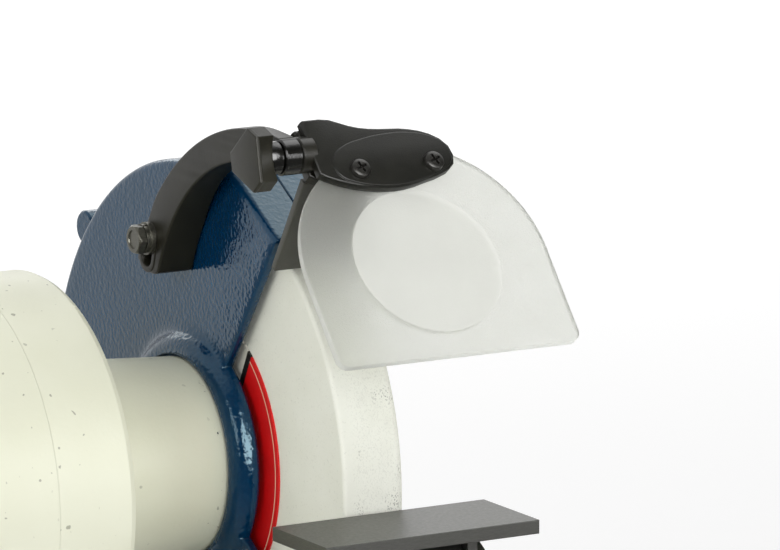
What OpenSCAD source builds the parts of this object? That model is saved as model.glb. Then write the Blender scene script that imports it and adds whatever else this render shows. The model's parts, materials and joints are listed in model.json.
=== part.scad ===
// Double-ended bench grinder with guards, eye shields, spark deflectors and tool rests.
// Millimetres. +Z is up, -Y is the operator's side, X runs along the spindle.
// Origin: middle of the machine, on the bench.
// Each station is drawn once in its own frame (X = 0 on the wheel's inner face) and mirrored.

/* [Machine] */
// Height of the spindle axis above the bench
shaft_height = 175; // [168:1:190]
// From the middle of the machine to the inner face of each wheel
wheel_x = 150; // [148:1:160]

/* [Wheel] */
// Radius of the grinding wheel
wheel_r = 100; // [96:1:104]
// Width of the grinding wheel
wheel_w = 25; // [20:1:32]
// Rounding of the wheel's corners
wheel_edge = 1.5; // [0.5:0.5:3]
// Rounding of the wheel's outer corner, where it is dressed
wheel_edge_out = 3; // [0.5:0.5:4]
// Radius of the paper blotter
blotter_r = 54; // [45:1:60]
// Thickness of the paper blotter
blotter_t = 0.8; // [0.5:0.1:1]
// Radius of the clamping flanges
flange_r = 33.5; // [30:0.5:35]
// Thickness of the outer flange
flange_t = 8; // [6:1:10]
// Across flats of the wheel nut
nut_af = 24; // [22:1:27]
// Height of the wheel nut
nut_h = 10; // [8:1:13]

/* [Guard] */
// Air between the wheel's rim and the guard
guard_gap = 4.7; // [4:0.1:8]
// Wall of the guard casting
guard_wall = 3.5; // [3:0.25:4.5]
// From the guard's motor face to the wheel
guard_back = 6.7; // [6.2:0.1:8]
// From the wheel's inner face to the seam between casting and cover
seam_x = 10; // [6:1:14]
// From the wheel's outer face to the cover's rim face
cover_out = 13; // [11:1:16]
// Wall of the outer cover
cover_wall = 2.5; // [2:0.25:3]
// Rise of the centre of the cover over its rim face
cover_rise = 11; // [9.5:0.5:14]
// Upper end of the mouth, degrees above the horizontal
mouth_top = 55; // [45:1:60]
// Lower end of the mouth, degrees below the horizontal
mouth_low = 32; // [20:1:36]
// Outer radius of the ring round the neck
ring_r = 46; // [44:0.5:50]
// Direction of the flat over the mouth, degrees above the horizontal
flat_angle = 59; // [56:1:62]
// How far the flat stands out of the guard's round rim
flat_rise = 1.2; // [0.8:0.1:2]
// Length of the flat behind its foot point
flat_back = 36; // [30:1:40]
// Rounding of the guard's edges
guard_round = 2.5; // [1.5:0.25:3]

/* [Spark deflector] */
// Width of the deflector
deflector_w = 31; // [28:1:36]
// Height of the deflector
deflector_h = 41; // [36:0.5:42]
// Thickness of the deflector
deflector_t = 3; // [2:0.5:4]
// Gap between the wheel's rim and the deflector's edge, along its own direction
deflector_gap = 2.6; // [1.6:0.1:3]

/* [Eye shield] */
// Width of the eye shield
shield_w = 98; // [90:1:104]
// Height of the eye shield
shield_h = 85; // [80:1:95]
// Thickness of the eye shield
shield_t = 3; // [2:0.5:4]
// Tilt of the eye shield from the vertical
shield_tilt = 39.8; // [35:0.1:45]
// Radius of the clear lens in the shield
lens_r = 28.2; // [24:0.2:32]
// Thickness of the front half of the holder
holder_front_t = 4.5; // [3.5:0.5:6]
// Thickness of the back half of the holder
holder_back_t = 5; // [3.5:0.5:5.5]

/* [Shield arm] */
// Distance from the guard's face to the arm's near face
arm_depth = 14.9; // [13:0.1:17]
// Radius of the arm's outer edge
arm_outer_r = 103.2; // [102.5:0.1:104]
// Radius of the arm's inner edge
arm_inner_r = 75.6; // [75:0.1:77]
// Thickness of the arm at its eye
eye_t = 6.7; // [5:0.1:8]
// Radius of the eye
eye_r = 6.5; // [6:0.1:7]
// Radius of the knob's lobes
knob_r = 11.7; // [10:0.1:13]
// Thickness of the knob's lobes
knob_t = 7.4; // [6:0.2:9]

/* [Tool rest] */
// Width of the tool rest
rest_w = 87; // [70:1:95]
// Depth of the tool rest
rest_d = 38; // [32:1:45]
// Thickness of the tool rest
rest_t = 5; // [4:0.5:6]
// Gap between the wheel's rim and the tool rest
rest_gap = 3; // [2:0.5:4]
// How far the top of the rest lies under the spindle axis
rest_drop = 4; // [2:0.5:6]
// Thickness of the rest bracket
bracket_t = 5.3; // [4.5:0.1:6]

/* [Motor] */
// Radius of the motor's body
motor_r = 74; // [70:1:76]
// Half length of the stator housing
stator_half = 50; // [48:1:56]
// From the middle of the machine to the end bell's face
bell_x = 81.5; // [78:0.5:84]
// Radius of the neck where it leaves the end bell
neck_root_r = 40; // [38:0.5:44]
// Radius of the neck at the guard
neck_r = 36.5; // [34:0.5:36.5]
// Wall of the housing
housing_wall = 4; // [3:0.5:5]
// Radius of the rotor
rotor_r = 37.6; // [34:0.2:38]
// Air gap between rotor and stator
air_gap = 0.4; // [0.35:0.05:0.6]
// Half length of the laminated core
core_half = 32; // [28:1:34]

/* [Base] */
// Length of the base along the spindle
base_l = 220; // [210:2:240]
// Depth of the base
base_d = 180; // [170:2:200]
// Thickness of the base flange
base_t = 10; // [8:1:14]
// From the ends of the base to the mounting holes
hole_in_x = 17; // [15:1:19]
// From the front and back of the base to the mounting holes
hole_in_y = 20; // [16:1:22]
// Radius of the mounting holes
hole_r = 4.5; // [4:0.25:5.5]
// Height of the rubber feet
foot_h = 6; // [5:1:10]

/* [Hidden] */
$fn = 96;
eps = 0.01;
joint_gap = 0.3;
fit_gap = 0.05;

guard_r = wheel_r + guard_gap + guard_wall;
flat_n = guard_r + flat_rise;
flat_front = flat_n * tan(flat_angle - mouth_top);
hump_end = 91.6;
cover_x = wheel_w + cover_out;
crown_x = cover_x + cover_rise;
crown_r = 56;
crown_foot_r = 63;
boss_face = 12.5;
boss_or = 45.6;
boss_round = 7;
boss_gap = 0.5;
bolt_head_t = 3;
floor_face = 10.5;
pocket_r = 36;
floor_t = 3.5;
shaft_end_r = 8;
seat_r = 8.5;
shaft_r = 10.5;
shoulder_x = 9;
nut_x = wheel_w + blotter_t + flange_t;
spindle_x = nut_x + nut_h + 1.2;
lug_r = 6.5;
lug_out = guard_r + 4.3;
lug_angles = [142, 222, 298];
cover_screw_r = 2.5;
guard_screw_r = 2.5;
guard_screw_pcd = 28;

// spark deflector, in the frame of the flat: y backwards along it, z out of it
deflector_y = -(flat_front + 5.75);
deflector_z = wheel_r + deflector_gap;
deflector_x = -9.3;
lug_x = 11.5;
lug_w = 9.5;
lug_top = 22;
slot_half = 2.9;
deflector_screw_r = 2.5;
deflector_out = 1.5;
deflector_in = 1.5;
// how much the holder's rear half is cut back at its lower edge
back_rise = 2.6;

// shield arm, measured from its clamp bolt
bolt_y = 3.7;
bolt_z = guard_r - 27;
bolt_r = 3;
pivot_dy = -94.9;
pivot_dz = 44.4;
pivot_y = bolt_y + pivot_dy;
pivot_z = bolt_z + pivot_dz;
arm_near = -(guard_back + arm_depth);
arm_far = -(guard_back + joint_gap);
slot_lean = 13.8;
arm_slot_r = 3.4;
slot_down = 7.4;
washer_r = 6;
washer_t = 1.6;
stud_r = 3;
stud_hole_r = 3.3;
knob_hub_t = 5.2;
knob_corner = 16.6;
knob_turn = 11;
hub_near = arm_near + eye_t + joint_gap;
block_near = hub_near + 3.6;
shield_mid = 20.8;
shield_top = 0.5;
shield_corner = 4.5;
lens_x = 20.6;
lens_y = -47.7;
lens_proud = 0.4;
lens_gap = 0.1;
holder_screw_y = -11.4;
holder_screw_x = [4.6, 34.6];
holder_screw_r = 2;
holder_head_r = 3.25;
pad_t = 1;

// tool rest
bracket_far = -(guard_back + joint_gap);
bracket_near = bracket_far - bracket_t;
bracket_z = -75;
bracket_half = 9;
bracket_back_y = -4;
bracket_front_y = -128;
bracket_bolts = [-34, -60];
bracket_bolt_r = 4;
bracket_slot_r = 4.4;
rest_out = 20;
rest_pivot_y = -(wheel_r + rest_gap + 15);
rest_pivot_z = -(rest_drop + 16);
rest_mid = 12.5;
ear_t = 4;
ear_r = 8;
lug_half = 22.3;
pivot_r = 3;

// base and pedestal
plate_t = 2;
plate_in = 3;
hole_x = base_l - 2 * hole_in_x;
hole_y = base_d - 2 * hole_in_y;
base_z = foot_h + plate_t;
base_top = base_z + base_t;
base_corner = 20;
ped_top = shaft_height - 58;
ped_in_x = 35;
ped_in_y = 20;
ped_x0 = base_l / 2 - ped_in_x;
ped_x1 = 58;
ped_y0 = base_d / 2 - ped_in_y;
ped_y1 = 57;
ped_wall = 5;
saddle_z = shaft_height - motor_r - 4;
roof_t = 6;
saddle_r = motor_r + 1.5;
saddle_half_x = 40;
saddle_half_y = 30;
ped_lean = atan((ped_y0 - ped_y1) / (ped_top - base_top));
switch_z = 60;
switch_y = ped_y0 - (switch_z - base_top) * tan(ped_lean);
gland_z = 36;
gland_y = ped_y0 - (gland_z - base_top) * tan(ped_lean);
gland_x = 52;
foot_r = 12;
cover_bolt_x = base_l / 2 - 40;
cover_bolt_y = base_d / 2 - 12;
cover_bolt_r = 2.2;
cap_r = 17.5;
cap_half = 34;
cap_y = 22;
button_w = 20;
button_d = 22;
button_gap = 0.4;
button_mid = 13;
button_travel = 4;
bezel_t = 4;
bezel_w = 62;
bezel_d = 42;
bezel_corner = 6;
switch_w = 54;
switch_d = 28;
switch_deep = 30;
switch_gap = 0.5;
cord_r = 3.6;
gland_r = 8;
gland_deep = 14;

// motor
bore_r = motor_r - housing_wall;
stator_r = bore_r - fit_gap;
stator_bore = rotor_r + air_gap;
slot_count = 18;
slot_in = stator_bore + 2.4;
slot_out = 56;
slot_w = 6;
coil_out = 46;
bell_inner = bell_x - housing_wall;
neck_end = wheel_x - floor_face;
bearing_in = neck_end - 27.5;
bearing_w = 12;
bearing_or = 20;
bearing_out = bearing_in + bearing_w;
neck_bore = 30;
neck_solid = bearing_in - 8;
ball_pitch = 14.25;
ball_r = 3.2;
race_r = 3.27;
wave_t = 1.2;
rod_pcd = 63.5;
rod_r = 2.5;
rod_head_r = 4.5;
rod_head_t = 3.5;

navy = [0.06, 0.10, 0.30];
cream = [0.80, 0.78, 0.70];
iron = [0.35, 0.36, 0.37];
steel = [0.72, 0.73, 0.74];
dark_steel = [0.27, 0.28, 0.28];
black_plastic = [0.10, 0.10, 0.10];
arm_grey = [0.24, 0.24, 0.21];
clear_plastic = [0.86, 0.90, 0.90];
wheel_white = [0.93, 0.93, 0.91];
label_red = [0.75, 0.12, 0.12];
copper = [0.72, 0.40, 0.20];
rubber = [0.07, 0.07, 0.07];
green = [0.10, 0.50, 0.20];
red = [0.75, 0.08, 0.08];

// ---------------------------------------------------------------- frames and helpers

// The right station: X = 0 on the wheel's inner face, on the spindle axis
module on_right() translate([wheel_x, 0, shaft_height]) children();

// The left station, a mirror image
module on_left() mirror([1, 0, 0]) on_right() children();

// Both stations at once
module on_both() {
  on_right() children();
  on_left() children();
}

// A flat outline (y, z) drawn out along X from x0
module along_x(x0, len) translate([x0, 0, 0]) rotate([90, 0, 90]) linear_extrude(height = len) children();

// A half section (radius, x) turned round the spindle axis
module turned() rotate([0, 90, 0]) rotate_extrude() children();

// A round bar along X
module bar(r, x0, len) translate([x0, 0, 0]) rotate([0, 90, 0]) cylinder(r = r, h = len);

// A ring along X
module tube(r_out, r_in, x0, len) difference() {
  bar(r_out, x0, len);
  bar(r_in, x0 - 1, len + 2);
}

// A point at a radius and an angle above the front horizontal
function at_angle(r, a) = [-r * cos(a), r * sin(a)];

// Children moved to a radius and an angle above the front horizontal
module polar_x(r, a) translate([0, -r * cos(a), r * sin(a)]) children();

// The frame of the flat over the mouth: y backwards along it, z out of it
module on_flat() rotate([90 - flat_angle, 0, 0]) children();

// A point of the flat's frame in the (y, z) plane of the station
function flat_pt(y, z) = [
  y * sin(flat_angle) - z * cos(flat_angle),
  y * cos(flat_angle) + z * sin(flat_angle)
];

// The frame of the eye shield: x across, y up along it, z out of its front
module on_shield() translate([0, pivot_y, pivot_z]) rotate([90 - shield_tilt, 0, 0]) children();

// ---------------------------------------------------------------- guard

module mouth_wedge() polygon([
  [0, 0], at_angle(3 * guard_r, -mouth_low), at_angle(3 * guard_r, mouth_top / 3), at_angle(3 * guard_r, mouth_top)
]);

module hump(grow) polygon([
  [0, 0], flat_pt(-2 * flat_front, flat_n + grow), flat_pt(flat_back, flat_n + grow), at_angle(guard_r + grow, hump_end)
]);

// Outline of the guard's side; grow is negative for the room inside
module guard_outline(grow) {
  circle(r = guard_r + grow, $fn = 180);
  hump(grow);
}

module plate_outline(grow, ring) {
  difference() {
    guard_outline(grow);
    mouth_wedge();
  }
  circle(r = ring, $fn = 120);
}

// Half section of the guard's round body with rounded corners
module rim_section() {
  square_x0 = -guard_back;
  translate([0, square_x0]) square([guard_r - guard_round, cover_x + guard_back]);
  translate([0, square_x0 + guard_round]) square([guard_r, cover_x + guard_back - 2 * guard_round]);
  translate([guard_r - guard_round, square_x0 + guard_round]) circle(r = guard_round, $fn = 48);
  translate([guard_r - guard_round, cover_x - guard_round]) circle(r = guard_round, $fn = 48);
}

// Section of the hump across the flat: (x, height) with rounded shoulders
module hump_section() {
  translate([-guard_back, 0]) square([cover_x + guard_back, flat_n - guard_round]);
  translate([-guard_back + guard_round, 0]) square([cover_x + guard_back - 2 * guard_round, flat_n]);
  translate([-guard_back + guard_round, flat_n - guard_round]) circle(r = guard_round, $fn = 48);
  translate([cover_x - guard_round, flat_n - guard_round]) circle(r = guard_round, $fn = 48);
}

// The whole guard as one closed drum, casting and cover together
module drum() {
  turned() rim_section();
  intersection() {
    along_x(-guard_back, cover_x + guard_back) hump(0);
    on_flat() translate([0, 2 * flat_back, 0]) rotate([90, 0, 0]) linear_extrude(height = 4 * flat_back) hump_section();
  }
}

module mouth_cut(x0, len) difference() {
  along_x(x0, len) mouth_wedge();
  bar(ring_r, x0 - 1, len + 2);
}

module cover_lugs(x0, len) for (a = lug_angles) polar_x(lug_out, a) bar(lug_r, x0, len);

module cover_lug_holes(x0, len) for (a = lug_angles) polar_x(lug_out, a) bar(cover_screw_r + fit_gap, x0, len);

// The raised ring round the neck, rounded towards the motor
module boss() turned() polygon([
  [0, -boss_face], [boss_or - boss_round, -boss_face], [boss_or - 0.62 * boss_round, -boss_face + 0.09 * boss_round],
  [boss_or - 0.29 * boss_round, -boss_face + 0.33 * boss_round], [boss_or - 0.08 * boss_round, -boss_face + 0.7 * boss_round],
  [boss_or, -guard_back + eps], [0, -guard_back + eps]
]);

module s_guard() difference() {
  union() {
    intersection() {
      drum();
      bar(2 * guard_r, -guard_back, seam_x + guard_back);
    }
    cover_lugs(-3, seam_x + 3);
    boss();
  }
  along_x(-guard_back + guard_wall, cover_x + guard_back) guard_outline(-guard_wall);
  mouth_cut(-guard_back - 1, cover_x + 2 * guard_back);
  bar(neck_r + boss_gap, -boss_face - 1, boss_face - floor_face + 1);
  bar(pocket_r, -floor_face + floor_t, floor_face);
  bar(14, -boss_face, boss_face);
  guard_screw_seats();
  cover_lug_holes(-1, seam_x + 2);
  translate([0, bolt_y, bolt_z]) bar(bolt_r + fit_gap, -guard_back - 1, guard_wall + 2);
  for (y = bracket_bolts) translate([0, y, bracket_z]) bar(bracket_bolt_r + fit_gap, -guard_back - 1, guard_wall + 2);
}

module guard_screw_seats() for (a = [90, 210, 330]) polar_x(guard_screw_pcd, a) {
  bar(guard_screw_r + fit_gap, -boss_face, boss_face);
  translate([-floor_face + floor_t, 0, 0]) rotate([0, -90, 0]) cylinder(r1 = 5 + fit_gap, r2 = guard_screw_r + fit_gap, h = 2.5);
}

module s_guard_screws() for (a = [90, 210, 330]) polar_x(guard_screw_pcd, a) {
  bar(guard_screw_r, -floor_face - 13, floor_face + floor_t + 2.5);
  translate([-floor_face + floor_t, 0, 0]) rotate([0, -90, 0]) cylinder(r1 = 5, r2 = guard_screw_r, h = 2.5);
}

// The crown over the flange and nut, outside and inside
module crown(shrink, x1) polygon([
  [0, cover_x - guard_round], [crown_foot_r - shrink, cover_x - guard_round],
  [crown_foot_r - shrink, cover_x - shrink], [crown_r - shrink, x1], [0, x1]
]);

module s_cover() difference() {
  union() {
    intersection() {
      drum();
      bar(2 * guard_r, seam_x, cover_x);
    }
    turned() crown(0, crown_x);
    cover_lugs(seam_x, 6);
    on_flat() translate([lug_x, deflector_y + joint_gap, flat_n - guard_wall]) cube([lug_w, -deflector_y - joint_gap + 2, guard_wall + lug_top]);
  }
  difference() {
    along_x(0, cover_x - cover_wall) guard_outline(-guard_wall);
    bar(ring_r + 20, seam_x - eps, 0);
  }
  turned() translate([0, -1]) polygon([
    [0, cover_x - cover_wall - 1], [crown_foot_r - cover_wall, cover_x - cover_wall - 1],
    [crown_foot_r - cover_wall, cover_x + 1 - cover_wall], [crown_r - cover_wall, crown_x + 1 - cover_wall], [0, crown_x + 1 - cover_wall]
  ]);
  difference() {
    along_x(seam_x - 1, cover_x + cover_rise) mouth_wedge();
    bar(crown_foot_r + 3, 0, crown_x + 1);
    on_flat() translate([lug_x, deflector_y + joint_gap, flat_n - guard_wall]) cube([lug_w, -2 * deflector_y, 2 * lug_top]);
  }
  cover_lug_holes(seam_x - 1, 8);
  deflector_holes(deflector_screw_r + fit_gap);
}

module deflector_holes(r) on_flat() for (z = [5.6, 16.6]) translate([lug_x + lug_w / 2, deflector_y + 14, flat_n + z]) rotate([90, 0, 0]) cylinder(r = r, h = 15);

module s_cover_screws() for (a = lug_angles) polar_x(lug_out, a) {
  bar(cover_screw_r, 0, seam_x + 6 + eps);
  bar(1.75 * cover_screw_r, seam_x + 6, 3.5);
}

// ---------------------------------------------------------------- spark deflector

module s_deflector() on_flat() difference() {
  translate([deflector_x, deflector_y - deflector_t, deflector_z]) cube([deflector_w, deflector_t, deflector_h]);
  translate([lug_x + lug_w / 2, deflector_y + 1, 0]) rotate([90, 0, 0]) linear_extrude(height = deflector_t + 2) {
    translate([0, flat_n + 5.6 - deflector_out]) circle(r = slot_half);
    translate([0, flat_n + 16.6 + deflector_in]) circle(r = slot_half);
    translate([-slot_half, flat_n + 5.6 - deflector_out]) square([2 * slot_half, 11 + deflector_out + deflector_in]);
  }
}

module s_deflector_screws() on_flat() for (z = [5.6, 16.6]) translate([lug_x + lug_w / 2, deflector_y - deflector_t - joint_gap, flat_n + z]) {
  rotate([-90, 0, 0]) cylinder(r = deflector_screw_r, h = 13);
  rotate([90, 0, 0]) cylinder(r = 2 * deflector_screw_r, h = 3.2);
}

// ---------------------------------------------------------------- wheel and its clamp

module s_wheel() turned() difference() {
  union() {
    translate([shaft_end_r + fit_gap, 0]) square([wheel_r - shaft_end_r - fit_gap - wheel_edge, wheel_w - wheel_edge_out]);
    translate([shaft_end_r + fit_gap, wheel_edge]) square([wheel_r - shaft_end_r - fit_gap, wheel_w - wheel_edge - wheel_edge_out]);
    translate([shaft_end_r + fit_gap, wheel_edge]) square([wheel_r - shaft_end_r - fit_gap - wheel_edge_out, wheel_w - wheel_edge]);
    translate([wheel_r - wheel_edge, wheel_edge]) circle(r = wheel_edge, $fn = 32);
    translate([wheel_r - wheel_edge_out, wheel_w - wheel_edge_out]) circle(r = wheel_edge_out, $fn = 32);
  }
}

module s_blotters() {
  tube(blotter_r, shaft_end_r + fit_gap, -blotter_t, blotter_t);
  tube(blotter_r, shaft_end_r + fit_gap, wheel_w, blotter_t);
}

module s_inner_flange() turned() polygon([
  [shaft_end_r + fit_gap, -shoulder_x], [12.5, -shoulder_x], [12.5, -blotter_t - 5], [flange_r, -blotter_t - 4],
  [flange_r, -blotter_t], [flange_r - 6, -blotter_t], [flange_r - 6.5, -blotter_t - 1.5], [14.5, -blotter_t - 1.5],
  [14, -blotter_t], [shaft_end_r + fit_gap, -blotter_t]
]);

module s_outer_flange() turned() polygon([
  [shaft_end_r + fit_gap, nut_x], [17, nut_x], [flange_r - 2, nut_x - flange_t + 4], [flange_r, nut_x - flange_t + 3],
  [flange_r, wheel_w + blotter_t], [flange_r - 6, wheel_w + blotter_t], [flange_r - 6.5, wheel_w + blotter_t + 1.5],
  [14.5, wheel_w + blotter_t + 1.5], [14, wheel_w + blotter_t], [shaft_end_r + fit_gap, wheel_w + blotter_t]
]);

module s_nut() difference() {
  intersection() {
    translate([nut_x, 0, 0]) rotate([0, 90, 0]) cylinder(r = nut_af / 2 / cos(30), h = nut_h, $fn = 6);
    turned() polygon([[0, nut_x], [nut_af / 2 + 1.9, nut_x], [nut_af / 2 + 1.9, nut_x + nut_h - 1.2], [nut_af / 2, nut_x + nut_h], [0, nut_x + nut_h]]);
  }
  bar(shaft_end_r + fit_gap, nut_x - 1, nut_h + 2);
}

// ---------------------------------------------------------------- shield arm, knob and washers

// Outline of the arm, measured from the clamp bolt; side is added to its back edge
module arm_outline(side) {
  difference() {
    intersection() {
      translate([-82.8, -51.3]) circle(r = arm_outer_r, $fn = 180);
      polygon([[pivot_dy, 0], [pivot_dy, 100], [-4.9, 100], [-4.9, 17.5], [-5.7, -11.8], [pivot_dy, -11.8]]);
    }
    translate([-77.8, -36.3]) circle(r = arm_inner_r, $fn = 180);
  }
  translate([pivot_dy, pivot_dz]) circle(r = eye_r);
  polygon([
    [-5.7, -11.8], [-0.4, -12.7], [3.4, -12.4], [9.1 + side, -8.9], [7.9 + side, -7.6],
    [2.5 + side, 4.2], [-0.6 + side, 9.6], [-4.9 + side / 3, 16.7], [-6.5, 18], [-13, 20], [-17, 8], [-9.5, -4.5]
  ]);
}

module arm_slot() {
  rotate(slot_lean) {
    translate([0, -slot_down]) circle(r = arm_slot_r);
    translate([-arm_slot_r, -slot_down]) square([2 * arm_slot_r, slot_down + 0.4]);
    translate([0, 0.4]) circle(r = arm_slot_r);
  }
}

module s_arm() translate([0, bolt_y, bolt_z]) difference() {
  intersection() {
    union() {
      along_x(arm_near, arm_far - arm_near) arm_outline(0);
      along_x(arm_near + 5.5, arm_far - arm_near - 5.5) arm_outline(2.2);
    }
    linear_extrude(height = 2 * arm_outer_r, center = true) polygon([
      [arm_near, 30], [arm_near, -120], [arm_near + eye_t, -120], [arm_near + eye_t, pivot_dy + eye_r + 1.5],
      [arm_near + 11.7, -34], [arm_far, -15], [arm_far, 30]
    ]);
  }
  along_x(arm_near - 1, 30) arm_slot();
  translate([0, pivot_dy, pivot_dz]) bar(stud_hole_r, arm_near - 1, 30);
}

// Flat washer and split spring washer under the clamp bolt's head
module s_arm_washers() translate([arm_near - joint_gap, bolt_y, bolt_z]) {
  tube(washer_r, bolt_r + joint_gap, -washer_t, washer_t);
  difference() {
    tube(washer_r - 0.6, bolt_r + joint_gap, -2 * washer_t, washer_t);
    rotate([20, 0, 0]) translate([-3 * washer_t, -0.4, 0]) cube([3 * washer_t, 0.8, washer_r + 1]);
  }
}

module s_arm_bolt() translate([0, bolt_y, bolt_z]) {
  bar(bolt_r, arm_near - 2 * joint_gap - 2 * washer_t - eps, -arm_near + 2 * joint_gap + 2 * washer_t - guard_back + guard_wall);
  intersection() {
    translate([arm_near - 2 * joint_gap - 2 * washer_t - bolt_head_t, 0, 0]) rotate([0, 90, 0]) cylinder(r = 5 / cos(30), h = bolt_head_t, $fn = 6);
    turned() translate([0, arm_near - 2 * joint_gap - 2 * washer_t]) polygon([[0, -bolt_head_t], [4.7, -bolt_head_t], [5.9, 0.7 - bolt_head_t], [5.9, 0], [0, 0]]);
  }
}

module s_knob() translate([0, pivot_y, pivot_z]) {
  along_x(arm_near - joint_gap - knob_hub_t - knob_t, knob_t) rotate(-knob_turn) polygon([
    for (k = [0, 120, 240]) for (s = [-1, 1]) [knob_r * cos(k + s * knob_corner), knob_r * sin(k + s * knob_corner)]
  ]);
  bar(6, arm_near - joint_gap - knob_hub_t - eps, knob_hub_t + eps);
  bar(stud_r, arm_near - joint_gap - eps, joint_gap + eye_t + 10);
}

// ---------------------------------------------------------------- holder and eye shield

module holder_outline() polygon([
  [block_near, 10.5], [block_near + 0.8, 10.9], [-3.6, 10.9], [0.2, 10.3], [3.6, 8.8], [7.1, 7.2], [10.7, 6], [14.5, 5.2],
  [18.5, 4.7], [22.5, 4.4], [26.5, 4.1], [30.4, 3.4], [34.1, 2.4], [37.8, 0.8], [41.3, -1.6], [43.8, -5], [44.4, -8.9],
  [43.2, -12.4], [40.2, -15], [35, -17.4], [30.4, -19], [25.9, -20.2], [21.5, -20.9], [17.4, -21.1], [13.3, -20.9],
  [9.4, -20.4], [5.6, -19.7], [1.9, -18.8], [-1.8, -17.5], [-5.2, -16.1], [-8.6, -14.4], [block_near, -12.8]
]);

// The oval pad on the front half
module pad_outline() {
  translate([2.8, -9]) circle(r = 8.2, $fn = 64);
  translate([35.4, -7.4]) circle(r = 8, $fn = 64);
  polygon([[3, -0.8], [20, 1.6], [35, 0.6], [35.8, -15.4], [20, -19.2], [2.4, -17.2]]);
}

module shield_outline(grow) {
  half = shield_w / 2 + grow;
  low = -shield_top - shield_h - grow;
  intersection() {
    translate([shield_mid, -shield_top - shield_w / 2]) circle(r = half, $fn = 180);
    translate([shield_mid - half, -shield_top - shield_w / 2 - 1]) square([2 * half, half + 2]);
  }
  translate([shield_mid - half, low + shield_corner]) square([2 * half, shield_h - shield_w / 2 - shield_corner + grow]);
  translate([shield_mid - half + shield_corner, low]) square([2 * half - 2 * shield_corner, shield_h / 2]);
  for (s = [-1, 1]) translate([shield_mid + s * (half - shield_corner), low + shield_corner]) circle(r = shield_corner, $fn = 32);
}

module holder_holes(r) for (x = holder_screw_x) translate([x, holder_screw_y, 0]) cylinder(r = r, h = 40, center = true);

module s_holder_front() on_shield() difference() {
  union() {
    translate([0, 0, shield_t / 2]) linear_extrude(height = holder_front_t - pad_t) holder_outline();
    intersection() {
      translate([0, 0, shield_t / 2]) linear_extrude(height = holder_front_t) pad_outline();
      linear_extrude(height = 20) holder_outline();
    }
  }
  holder_holes(holder_screw_r + 0.1);
  lens_disc(lens_gap);
  bar(stud_hole_r, hub_near - 1, 14);
}

module s_holder_back() on_shield() difference() {
  union() {
    translate([0, 0, -shield_t / 2 - holder_back_t]) linear_extrude(height = holder_back_t + shield_t) intersection() {
      holder_outline();
      translate([0, back_rise]) holder_outline();
    }
    bar(eye_r, hub_near, block_near - hub_near + 2);
  }
  translate([0, 0, -shield_t / 2]) linear_extrude(height = shield_t + 1) shield_outline(0.1);
  lens_disc(lens_gap);
  translate([block_near, -40, shield_t / 2]) cube([80, 60, 20]);
  difference() {
    holder_holes(holder_screw_r + fit_gap);
    translate([-20, -40, -20 - shield_t / 2 - holder_back_t + 1]) cube([80, 60, 20]);
  }
  bar(stud_hole_r, hub_near - 1, 14);
}

module s_holder_screws() on_shield() for (x = holder_screw_x) translate([x, holder_screw_y, 0]) {
  translate([0, 0, -shield_t / 2 - holder_back_t + 1.5]) cylinder(r = holder_screw_r, h = shield_t + holder_back_t + holder_front_t - 1.4);
  translate([0, 0, shield_t / 2 + holder_front_t]) cylinder(r = holder_head_r, h = 1.4);
  translate([0, 0, shield_t / 2 + holder_front_t + 1.4]) cylinder(r1 = holder_head_r, r2 = holder_head_r - 1.2, h = 0.8);
}

// The clear lens, a little proud of the shield on both sides; gap makes room for it in the holder
module lens_disc(gap) translate([lens_x, lens_y, -shield_t / 2 - lens_proud - gap]) cylinder(r = lens_r + gap, h = shield_t + 2 * (lens_proud + gap), $fn = 120);

module s_shield() on_shield() difference() {
  union() {
    translate([0, 0, -shield_t / 2]) linear_extrude(height = shield_t) shield_outline(0);
    lens_disc(0);
  }
  holder_holes(holder_screw_r + 0.2);
}

// ---------------------------------------------------------------- tool rest

module bracket_outline() {
  translate([bracket_front_y, bracket_z - bracket_half]) square([bracket_back_y - bracket_front_y, 2 * bracket_half]);
  translate([bracket_front_y, bracket_z]) square([20, rest_pivot_z - bracket_z]);
  translate([bracket_front_y + 10, rest_pivot_z]) circle(r = 10);
}

module bracket_slot() {
  front = min(bracket_bolts);
  back = max(bracket_bolts) + rest_out;
  for (y = [front - 1.5, back]) translate([y, bracket_z]) circle(r = bracket_slot_r);
  translate([front - 1.5, bracket_z - bracket_slot_r]) square([back - front + 1.5, 2 * bracket_slot_r]);
}

module s_bracket() difference() {
  union() {
    along_x(bracket_near, bracket_t) bracket_outline();
    translate([0, rest_pivot_y, rest_pivot_z]) bar(7, bracket_far - eps, rest_mid + lug_half - bracket_far);
    translate([bracket_near, rest_pivot_y - 7, rest_pivot_z - 22]) cube([bracket_t + 10, 14, 22]);
  }
  along_x(bracket_near - 1, bracket_t + 2) bracket_slot();
  translate([0, rest_pivot_y, rest_pivot_z]) bar(pivot_r + 0.06, bracket_near - 1, 60);
}

module s_bracket_bolts() for (y = bracket_bolts) translate([0, y, bracket_z]) {
  bar(bracket_bolt_r, bracket_near - joint_gap - eps, guard_wall + bracket_t + 2 * joint_gap + eps);
  bar(8, bracket_near - joint_gap - 1.6, 1.6);
  translate([bracket_near - joint_gap - 1.6 - 5.3, 0, 0]) rotate([0, 90, 0]) cylinder(r = 6.5 / cos(30), h = 5.3 + eps, $fn = 6);
}

module s_rest() difference() {
  union() {
    translate([rest_mid - rest_w / 2, -(wheel_r + rest_gap) - rest_d, -rest_drop - rest_t]) cube([rest_w, rest_d, rest_t]);
    for (x = [bracket_near - 0.7 - ear_t, rest_mid + lug_half + 0.7]) {
      translate([0, rest_pivot_y, rest_pivot_z]) bar(ear_r, x, ear_t);
      translate([x, rest_pivot_y - ear_r, rest_pivot_z]) cube([ear_t, 2 * ear_r, -rest_drop - rest_t - rest_pivot_z + eps]);
    }
  }
  translate([0, rest_pivot_y, rest_pivot_z]) bar(pivot_r + fit_gap, bracket_near - 20, 100);
}

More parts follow.
